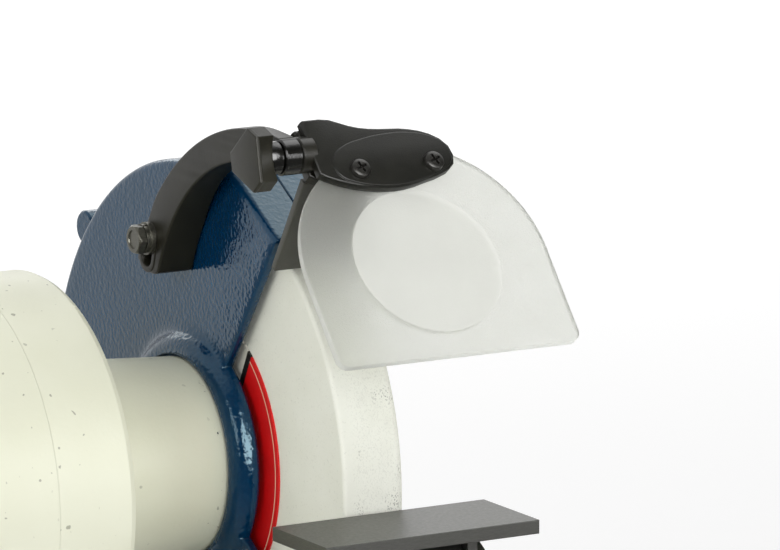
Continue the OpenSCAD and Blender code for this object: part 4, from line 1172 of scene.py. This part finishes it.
@dataclass
class ShieldArm:
    """The curved arm that carries the eye shield, with its clamp knob."""

    side: Side
    near: float = -21.6  # the side towards the motor
    far: float = -7.0  # the side towards the wheel, at the foot
    eye_t: float = 6.7  # thickness at the eye
    outer_c: Pair = (-82.8, -51.3)
    outer_r: float = 103.2
    inner_c: Pair = (-77.8, -36.3)
    inner_r: float = 75.6
    foot_top: Pair = (-4.9, 17.5)
    pivot: Pair = (-94.9, 44.4)
    pivot_hole_r: float = 3.3
    eye_r: float = 6.5
    slot_lean: float = 13.8
    slot_r: float = 3.4
    slot_ends: Pair = (0.4, -7.4)
    lobe_r: float = 11.7
    lobe_half: float = 16.6  # half the angle between a lobe's corners
    lobe_turn: float = -11.0
    scoop_deep: float = 2.1
    scoop_rim: float = 1.7
    scoop_margin: float = 0.07
    grip_t: float = 7.4
    neck_t: float = 5.2  # length of the collar between grip and arm
    knob_gap: float = 0.3
    stud_end: float = 10.3

    def outline(self) -> list[Pair]:
        """The arm's side view, measured from the clamp bolt."""
        (x, y), (cx, cy) = self.foot_top, self.outer_c
        points = arc(self.outer_c, self.outer_r, math.degrees(math.atan2(y - cy, x - cx)), 96.7, 26)
        points += arc(self.pivot, self.eye_r, 92.0, 268.0, 16)
        points += arc(self.inner_c, self.inner_r, 97.0, 20.0, 26)
        points += [(-5.9, -12.0), (-3.2, -12.9), (-0.4, -13.0), (3.4, -12.3), (6.6, -10.8), (8.9, -9.2)]
        points += [(9.0, -7.9), (7.9, -5.4), (5.2, -1.0), (2.5, 4.2), (-0.6, 9.6), (-3.0, 13.8)]
        return points

    def slot(self, grow: float = 0.0) -> list[Pair]:
        """The clamp bolt's slot."""
        high, low = self.slot_ends
        raw = arc((0.0, high), self.slot_r + grow, 0.0, 180.0, 12)
        raw += arc((0.0, low), self.slot_r + grow, 180.0, 360.0, 12)
        c, s = polar(1.0, self.slot_lean)
        return [(x * c - y * s, x * s + y * c) for x, y in raw]

    def depth(self, y: float) -> float:
        """How thick the arm is at a distance from the bolt, thin at the eye and full at the foot."""
        full = self.far - self.near
        marks = [(-200.0, self.eye_t), (-86.9, self.eye_t), (-34.0, 11.7), (-15.0, full)]
        for (y0, t0), (y1, t1) in zip(marks, marks[1:]):
            if y <= y1:
                return t0 + (t1 - t0) * (y - y0) / (y1 - y0)
        return full

    def arm(self) -> None:
        """The arm itself."""
        shape = Shape(self.side.of("arm_casting"))
        place = AT_BOLT @ ALONG_X
        hole = arc(self.pivot, self.pivot_hole_r, 0.0, 345.0, 23)
        shape.slab([self.outline(), self.slot(), hole], self.near, self.far, place, bevel=0.7)
        middle = (self.near + self.far) / 2
        for vert in shape.parts.verts:
            if vert.co.x > middle:
                vert.co.x += self.near + self.depth(vert.co.y - BOLT_Y) - self.far
        rim = [self.slot(2.4), self.slot(0.2)]
        shape.slab(rim, self.near - 0.28, self.near + 0.6, place, bevel=0.25, steps=2)
        bmesh.ops.transform(shape.parts, matrix=self.side.station(), verts=shape.parts.verts)
        bmesh.ops.recalc_face_normals(shape.parts, faces=shape.parts.faces)
        shape.done(self.side.of("arm"), Paint.ARM, [self.side.of("shield_arm")])

    def eye(self) -> None:
        """The polished ring at the arm's end."""
        shape = Shape(self.side.of("arm_eye"))
        proud, bore, e = 0.04, 3.4, 0.5
        x0, x1, r = self.near - proud, self.near + self.eye_t + proud, self.eye_r + 0.1
        profile = [(bore, x0), (r - e, x0), (r, x0 + e), (r, x1 - e), (r - e, x1), (bore, x1)]
        shape.turned(profile, self.side.station() @ AT_PIVOT, 64)
        shape.done(self.side.of("arm"), Paint.GLOSSY)

    def corner(self, lobe: float, end: float) -> Pair:
        """One of the two corners of a lobe, its end being -1 or 1."""
        return polar(self.lobe_r, lobe + end * self.lobe_half + self.lobe_turn)

    def lobes(self, scooped: bool) -> list[Pair]:
        """The knob's side view: three blunt lobes, with or without the thumb scoop in the front flank."""
        points: list[Pair] = []
        for lobe in (0.0, 120.0, 240.0):
            points += [self.corner(lobe, -1.0), self.corner(lobe, 1.0)]
            if scooped and lobe == 120.0:
                points += self.scoop(points[-1], self.corner(240.0, -1.0))
        return points

    def scoop(self, start: Pair, end: Pair) -> list[Pair]:
        """Points of the hollow between two corners.

        Args:
            start: the corner that it begins from.
            end: the corner that it ends at.

        Returns:
            The points between the corners.
        """
        a, b = Vector(start), Vector(end)
        inward = -((a + b) / 2).normalized()
        out = []
        for k in range(13):
            t = k / 12
            sink = 0.16 + 0.84 * math.sin(math.pi * t) ** 0.8
            share = self.scoop_margin + (1.0 - 2.0 * self.scoop_margin) * t
            out.append(tuple(a.lerp(b, share) + inward * self.scoop_deep * sink))
        return out

    def knob(self) -> None:
        """The clamp knob: lobed grip, hub and stud."""
        place = self.side.station() @ AT_PIVOT
        body = self.side.of("knob")
        grip = Shape(self.side.of("knob_grip"))
        face = self.near - self.knob_gap - self.neck_t - self.grip_t
        grip.slab([self.lobes(False)], face, face + self.scoop_rim, place @ ALONG_X, bevel=0.45)
        grip.slab([self.lobes(True)], face + 0.55, face + self.grip_t, place @ ALONG_X, bevel=0.55)
        grip.done(body, Paint.KNOB, [self.side.of("clamp_knob")])
        hub = Shape(self.side.of("knob_hub"))
        inner, near, tip = face + 6.6, self.near, self.near + self.stud_end
        collar = [(0.0, inner), (5.4, inner), (6.0, inner + 1.0), (6.0, near - 0.9), (5.5, near - 0.35)]
        hub.turned(collar + [(0.0, near - 0.35)], place, 48)
        stud = [(0.0, near - 0.6), (3.0, near - 0.6), (3.0, tip - 0.4), (2.6, tip), (0.0, tip)]
        hub.turned(stud, place, 32)
        hub.done(body, Paint.GLOSSY)

    def build(self) -> None:
        """Makes the arm and the knob."""
        self.arm()
        self.eye()
        self.knob()


@dataclass
class EyeShield:
    """The shield with its lens, clamped between the holder's halves."""

    side: Side
    width: float = 98.0
    height: float = 85.0
    thick: float = 3.0
    middle: float = 20.8
    top: float = 0.5
    corner: float = 3.9
    fuller: float = 0.8  # how far its shoulders stand outside a circle
    lens: Pair = (20.6, -47.7)
    lens_r: float = 28.2
    lens_edge: float = 0.4
    front_t: float = 4.5
    back_t: float = 5.0
    lift: float = 1.7  # of the holder's lower edge, less near its tip
    lift_ends: Pair = (43.0, 13.0)
    rear_rise: float = 3.4  # of the rear half's lower edge over the front's
    block: float = -11.0  # X of the holder's straight end
    screws: tuple[Pair, ...] = ((4.6, -11.4), (34.6, -11.4))

    def outline(self) -> list[Pair]:
        """The shield's front view."""
        half = self.width / 2
        low = -self.top - self.height
        points: list[Pair] = []
        for x, y in arc((0.0, 0.0), 1.0, 0.0, 180.0, 72):
            reach = half + self.fuller * max(0.0, 2.0 * x * y)
            points.append((self.middle + reach * x, -self.top - half + reach * y))
        left, right = self.middle - half + self.corner, self.middle + half - self.corner
        points += arc((left, low + self.corner), self.corner, 180.0, 270.0, 8)
        points += arc((right, low + self.corner), self.corner, 270.0, 360.0, 8)
        return points

    def holder(self) -> list[Pair]:
        """The holder's front view, its lower edge lifted close to the raised oval."""
        points = [
            (self.block, 10.5), (-10.2, 10.9), (-3.6, 10.9), (0.2, 10.3), (3.6, 8.8), (7.1, 7.2), (10.7, 6.0),
            (14.5, 5.2), (18.5, 4.7), (22.5, 4.4), (26.5, 4.1), (30.4, 3.4), (34.1, 2.4), (37.8, 0.8),
            (41.3, -1.6), (43.8, -5.0), (44.4, -8.9), (43.2, -12.4), (40.2, -15.0), (35.0, -17.4),
            (30.4, -19.0), (25.9, -20.2), (21.5, -20.9), (17.4, -21.1), (13.3, -20.9), (9.4, -20.4),
            (5.6, -19.7), (1.9, -18.8), (-1.8, -17.5), (-5.2, -16.1), (-8.6, -14.4), (self.block, -12.8),
        ]
        tip, run = self.lift_ends
        lower = -12.0
        return [(x, y + self.lift * min(1.0, max(0.0, (tip - x) / run)) * (y < lower)) for x, y in points]

    def rear(self) -> list[Pair]:
        """The rear half's outline, cut back at its lower edge."""
        lower = -10.0
        return [(x, y + self.rear_rise) if y < lower else (x, y) for x, y in self.holder()]

    def pad(self) -> list[Pair]:
        """The raised oval on the holder's front."""
        return [
            (-4.7, -9.3), (-3.2, -4.6), (1.5, -1.2), (9.5, 1.0), (20.0, 2.2), (29.5, 1.8), (37.2, -0.4),
            (42.2, -4.2), (43.2, -8.6), (41.5, -12.5), (36.0, -15.2), (28.0, -17.7), (19.0, -18.9),
            (10.0, -18.3), (2.0, -16.2), (-3.2, -13.2),
        ]

    def in_lens(self, points: Iterable[Vector]) -> bool:
        """Whether points in the frame all lie on the lens or its rim."""
        to_shield = (self.side.station() @ ON_SHIELD).inverted()
        limit = self.lens_r + self.lens_edge
        x, y = self.lens
        return all(math.hypot(at.x - x, at.y - y) < limit for at in (to_shield @ p for p in points))

    def shield(self) -> None:
        """The frosted shield, with a lens of another finish flush in it."""
        half = self.thick / 2
        shape = Shape(self.side.of("shield_sheet"))
        hole = arc(self.lens, self.lens_r, 0.0, 355.0, 71)
        place = self.side.station() @ ON_SHIELD
        shape.slab([self.outline(), hole], -half, half, place, bevel=0.35, steps=2)
        wall = [f for f in shape.parts.faces if self.in_lens(v.co for v in f.verts)]
        bmesh.ops.delete(shape.parts, geom=wall, context="FACES")
        rims = [e for e in shape.parts.edges if e.is_boundary]
        bmesh.ops.holes_fill(shape.parts, edges=rims, sides=0)
        bmesh.ops.recalc_face_normals(shape.parts, faces=shape.parts.faces)
        body = self.side.of("shield")
        made = shape.done(body, Paint.SHIELD, [self.side.of("eye_shield")])
        made.data.materials.append(Paint.LENS.material())
        for face in made.data.polygons:
            if self.in_lens(made.data.vertices[v].co for v in face.vertices):
                face.material_index = 1

    def halves(self) -> None:
        """The two halves of the holder."""
        place = self.side.station() @ ON_SHIELD
        body = self.side.of("shield")
        seat, gap, rounded = self.thick / 2, 0.02, 38.0
        face = seat + self.front_t
        front = Shape(self.side.of("holder_face"))
        front.slab([self.holder()], seat + gap, face - 0.55, place, bevel=0.75)
        front.slab([self.pad()], seat + 1.0, face, place, bevel=0.45, smooth=True)
        names = [self.side.of("holder_front")]
        front.done(body, Paint.HOLDER, names, angle=rounded)
        back = Shape(self.side.of("holder_rear"))
        back.slab([self.rear()], -seat - self.back_t, -seat - gap, place, bevel=0.9)
        back.block((self.block, -6.0, -seat - 0.5), (-6.8, 9.2, seat), place, bevel=0.4)
        hub = [(3.3, -14.6), (6.0, -14.6), (6.5, -14.1), (6.5, -9.0), (3.3, -9.0)]
        back.turned(hub, place, 48)
        names = [self.side.of("holder_back")]
        back.done(body, Paint.HOLDER_BACK, names, angle=rounded)

    def fixings(self) -> None:
        """The two cross-head screws through the holder."""
        name = self.side.of("holder_fixings")
        screws = Screws(name, Head.PAN, radius=3.8, height=2.2, shank_r=2.0, shank=11.0)
        seat = self.thick / 2 + self.front_t
        for x, y in self.screws:
            screws.places.append(facing(self.side, (x, y, seat), (0.0, 0.0, 1.0), ON_SHIELD))
        names = [self.side.of("holder_screws")]
        screws.build(self.side.of("shield"), "zinc_steel", Paint.BLACK_ZINC, names)

    def build(self) -> None:
        """Makes the shield's pieces."""
        self.shield()
        self.halves()
        self.fixings()


# ------------------------------------------------------------------ screws of both stations


@dataclass
class StationScrews:
    """Bolts and screws that hold the stations' parts to the guards."""

    guard: Guard
    deflector: Deflector
    arm_seat: float = -25.4
    cover_seat: float = 16.0
    deflector_seat: float = -16.71
    deflector_z: Pair = (115.0, 126.0)

    def arm_bolts(self) -> None:
        """The clamp bolts at the arms' feet."""
        bolts = Screws("arm_clamp_bolts", Head.HEX, radius=5.7, height=3.0, shank_r=3.0, shank=21.0)
        for side in Side:
            bolts.places.append(facing(side, (self.arm_seat, BOLT_Y, BOLT_Z), (-1.0, 0.0, 0.0)))
        bolts.build("motor", "zinc_steel", Paint.DARK_ZINC, ["arm_bolts"])

    def cover_screws(self) -> None:
        """Three screws round each cover."""
        screws = Screws("cover_fixings", Head.PAN, radius=4.4, height=3.5, shank_r=2.45, shank=15.0)
        for side in Side:
            for angle in self.guard.lug_angles:
                at = (self.cover_seat, *round_spindle(self.guard.lug_out, angle))
                screws.places.append(facing(side, at, (1.0, 0.0, 0.0)))
        screws.build("motor", "zinc_steel", Paint.ZINC, ["cover_screws"])

    def deflector_screws(self) -> None:
        """Two screws through each deflector's slot."""
        screws = Screws("deflector_fixings", Head.PAN, radius=5.0, height=3.2, shank_r=2.45, shank=13.0)
        for side in Side:
            for z in self.deflector_z:
                at = (self.deflector.slot_x, self.deflector_seat, z)
                screws.places.append(facing(side, at, (0.0, -1.0, 0.0), ON_FLAT))
        screws.build("motor", "zinc_steel", Paint.ZINC, ["deflector_screws"])

    def build(self) -> None:
        """Makes the screws."""
        self.arm_bolts()
        self.cover_screws()
        self.deflector_screws()


# ------------------------------------------------------------------ carried-over nodes


@dataclass
class Dresser:
    """Gives the frame's own solids their finishes."""

    nodes: dict[str, bpy.types.Object]
    finishes: dict[Paint, tuple[str, ...]] = field(
        default_factory=lambda: {
            Paint.CREAM: ("base_casting", "stator_housing", "end_bell"),
            Paint.SHEET: ("base_cover",),
            Paint.RUBBER: ("rubber_feet",),
            Paint.IRON: ("stator_core", "rotor_core"),
            Paint.COPPER: ("stator_windings",),
            Paint.GROUND: ("shaft", "bearing", "wave_washer", "inner_flanges", "outer_flanges"),
            Paint.CAN: ("capacitor",),
            Paint.GLOSSY: ("cord_gland", "switch_body"),
            Paint.GREEN: ("start_button",),
            Paint.RED: ("stop_button",),
            Paint.LABEL: ("blotters",),
            Paint.WHEEL: ("wheel",),
            Paint.DARK_ZINC: ("arm_washers",),
            Paint.BRACKET: ("rest_bracket",),
            Paint.REST: ("tool_rest",),
            Paint.ZINC: (
                "base_cover_screws",
                "tie_rods",
                "saddle_screws",
                "guard_screws",
                "rest_bracket_bolts",
                "rest_pivot_screw",
                "wheel_nut",
            ),
        }
    )

    def finish_of(self, name: str) -> Paint:
        """The finish for a node: the longest name that the node's begins with."""
        fits = {key: paint for paint, keys in self.finishes.items() for key in keys if name.startswith(key)}
        return fits[max(fits, key=len)] if fits else Paint.HOLDER

    def build(self) -> None:
        """Dresses every node, also those that finer pieces stand for."""
        for name, node in self.nodes.items():
            paint = self.finish_of(name)
            if not node.material_slots:
                node.data.materials.append(None)
            for slot in node.material_slots:
                slot.material = paint.material()
            LOG.info("%s: %s", name, paint.value.name)


@dataclass
class SwitchMarks:
    """The two plain marks on the switch: a bar to start, a ring to stop."""

    height: float = 60.0
    lean: float = 7.481
    wall_y: float = -64.49  # the pedestal's leaning front wall at that height
    aside: float = 13.0
    bar: Pair = (0.9, 5.0)
    ring: Pair = (5.2, 3.7)
    start_proud: float = 5.0
    stop_proud: float = 7.0
    depth: Pair = (-0.3, 0.15)
    edge: float = 0.08

    def face(self, proud: float) -> Matrix:
        """The plane of a button's face."""
        tilt = Matrix.Rotation(math.radians(90.0 - self.lean), 4, "X")
        foot = Matrix.Translation((0.0, self.wall_y, self.height))
        return Matrix.Scale(MM, 4) @ foot @ tilt @ Matrix.Translation((0.0, 0.0, proud))

    def build(self) -> None:
        """Makes the marks."""
        low, high = self.depth
        bar = Shape("start_mark")
        wide, tall = self.bar
        left, right = -self.aside - wide, -self.aside + wide
        bar.block((left, -tall, low), (right, tall, high), self.face(self.start_proud), bevel=self.edge)
        bar.done("start_button", Paint.MARK)
        ring = Shape("stop_mark")
        loops = [arc((self.aside, 0.0), radius, 0.0, 350.0, 35) for radius in self.ring]
        ring.slab(loops, low, high, self.face(self.stop_proud), bevel=self.edge, steps=2)
        ring.done("stop_button", Paint.MARK)


# ------------------------------------------------------------------ studio


@dataclass(frozen=True)
class SoftBox:
    """A lamp that is aimed at the machine, in metres and watts."""

    name: str
    at: Triple
    size: Pair
    power: float

    def build(self) -> None:
        """Puts the lamp up."""
        data = bpy.data.lights.new(self.name, "AREA")
        data.shape = "RECTANGLE"
        data.size, data.size_y = self.size
        data.energy = self.power
        made = linked(self.name, data)
        made.location = self.at
        made.visible_camera = False
        target = Vector((0.1, 0.0, 0.2))
        made.rotation_euler = (target - Vector(self.at)).to_track_quat("-Z", "Y").to_euler()


@dataclass
class Studio:
    """Floor, world, lamps and camera, in metres."""

    lens: float = 348.87
    eye: Triple = (-1.1614, -2.3629, 0.7717)
    azimuth: float = -30.448
    elevation: float = 11.114
    floor_half: float = 14.0
    floor_grey: Colour = (0.82, 0.82, 0.82, 1.0)
    window: Triple = (-0.13, -0.927, 0.347)  # towards a bright window, seen in mirrors alone
    window_power: float = 8.5
    panel: Triple = (0.5, 0.23, 0.835)  # towards a bright ceiling panel, seen in mirrors alone
    panel_power: float = 2.0
    fill: float = 0.56  # soft light from all sides
    boxes: tuple[SoftBox, ...] = (
        SoftBox("front_box", (-0.12, -1.9, 0.87), (1.0, 1.2), 12.6),
        SoftBox("right_box", (1.3, -1.75, 0.6), (0.45, 0.7), 6.5),
        SoftBox("left_box", (-2.1, -0.7, 0.9), (1.4, 1.2), 22.0),
        SoftBox("back_box", (0.6, 2.0, 1.4), (1.4, 1.2), 10.0),
    )

    def camera(self) -> None:
        """Places the camera and turns it by its azimuth and elevation."""
        data = bpy.data.cameras.new("camera")
        data.lens = self.lens
        data.sensor_width = 36.0
        data.clip_end = 60.0
        made = linked("camera", data)
        made.location = self.eye
        level, up = polar(1.0, self.elevation)
        ahead, aside = polar(level, self.azimuth)
        made.rotation_euler = Vector((-aside, ahead, -up)).to_track_quat("-Z", "Y").to_euler()
        bpy.context.scene.camera = made

    def floor(self) -> None:
        """A wide pale floor that keeps shadows."""
        half = self.floor_half
        mesh = bpy.data.meshes.new("floor")
        corners = [(-half, -half, 0), (half, -half, 0), (half, half, 0), (-half, half, 0)]
        mesh.from_pydata(corners, [], [range(4)])
        made = linked("floor", mesh)
        material = bpy.data.materials.new("floor_paper")
        graph = fresh_graph(material)
        x, y, _ = graph.split(graph.place())
        far = graph.distance(x, y).ramp(0.6, 3.2)
        paper = {
            "Base Color": self.floor_grey,
            "Roughness": 0.9,
            "Specular IOR Level": 0.0,
            "Emission Color": (1.0, 1.0, 1.0, 1.0),
            "Emission Strength": graph.rays("Camera", "Glossy", "Transmission") * (0.26 + 0.36 * far),
        }
        shader = graph.node("ShaderNodeBsdfPrincipled", None, paper)
        glow = graph.node("ShaderNodeEmission", None, {"Strength": 0.15 + 0.85 * y.ramp(-0.5, 0.3)})
        both = graph.node("ShaderNodeMixShader", None, {0: graph.rays("Glossy"), 1: shader, 2: glow})
        graph.node("ShaderNodeOutputMaterial", None, {"Surface": both})
        mesh.materials.append(material)

    def world(self) -> None:
        """White where it is seen, a bright room where it is mirrored, plain for everything else."""
        world = bpy.data.worlds.new("studio")
        bpy.context.scene.world = world
        graph = fresh_graph(world)
        x, y, z = graph.split(graph.node("ShaderNodeTexCoord", output="Generated"))
        toward, over = (x * p[0] + y * p[1] + z * p[2] for p in (self.window, self.panel))
        room = 0.1 + 0.9 * (y + z * 0.7).ramp(0.05, 0.7)
        room += self.window_power * toward.ramp(0.885, 0.945)
        room += self.panel_power * over.ramp(0.91, 0.975)
        seen = graph.rays("Camera", "Transmission")
        mirrored = graph.rays("Glossy")
        unseen = 1.0 - seen
        strength = self.fill * unseen * (1.0 - mirrored) + seen + mirrored * unseen * room
        glow = graph.node("ShaderNodeBackground", None, {"Color": (1.0, 1.0, 1.0, 1.0), "Strength": strength})
        graph.node("ShaderNodeOutputWorld", None, {"Surface": glow})

    def build(self) -> None:
        """Sets the studio up."""
        self.camera()
        self.floor()
        self.world()
        for box in self.boxes:
            box.build()
        bpy.context.scene.view_settings.view_transform = "Standard"


# ------------------------------------------------------------------ main


def main() -> None:
    """Builds the whole model round the frame."""
    logging.basicConfig(level=logging.INFO, format="%(name)s %(message)s")
    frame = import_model()
    Studio().build()
    Dresser(frame["nodes"]).build()
    for side in Side:
        Guard(side).build()
        Deflector(side).build()
        ShieldArm(side).build()
        EyeShield(side).build()
    StationScrews(Guard(Side.RIGHT), Deflector(Side.RIGHT)).build()
    SwitchMarks().build()


if __name__ == "__main__":
    main()
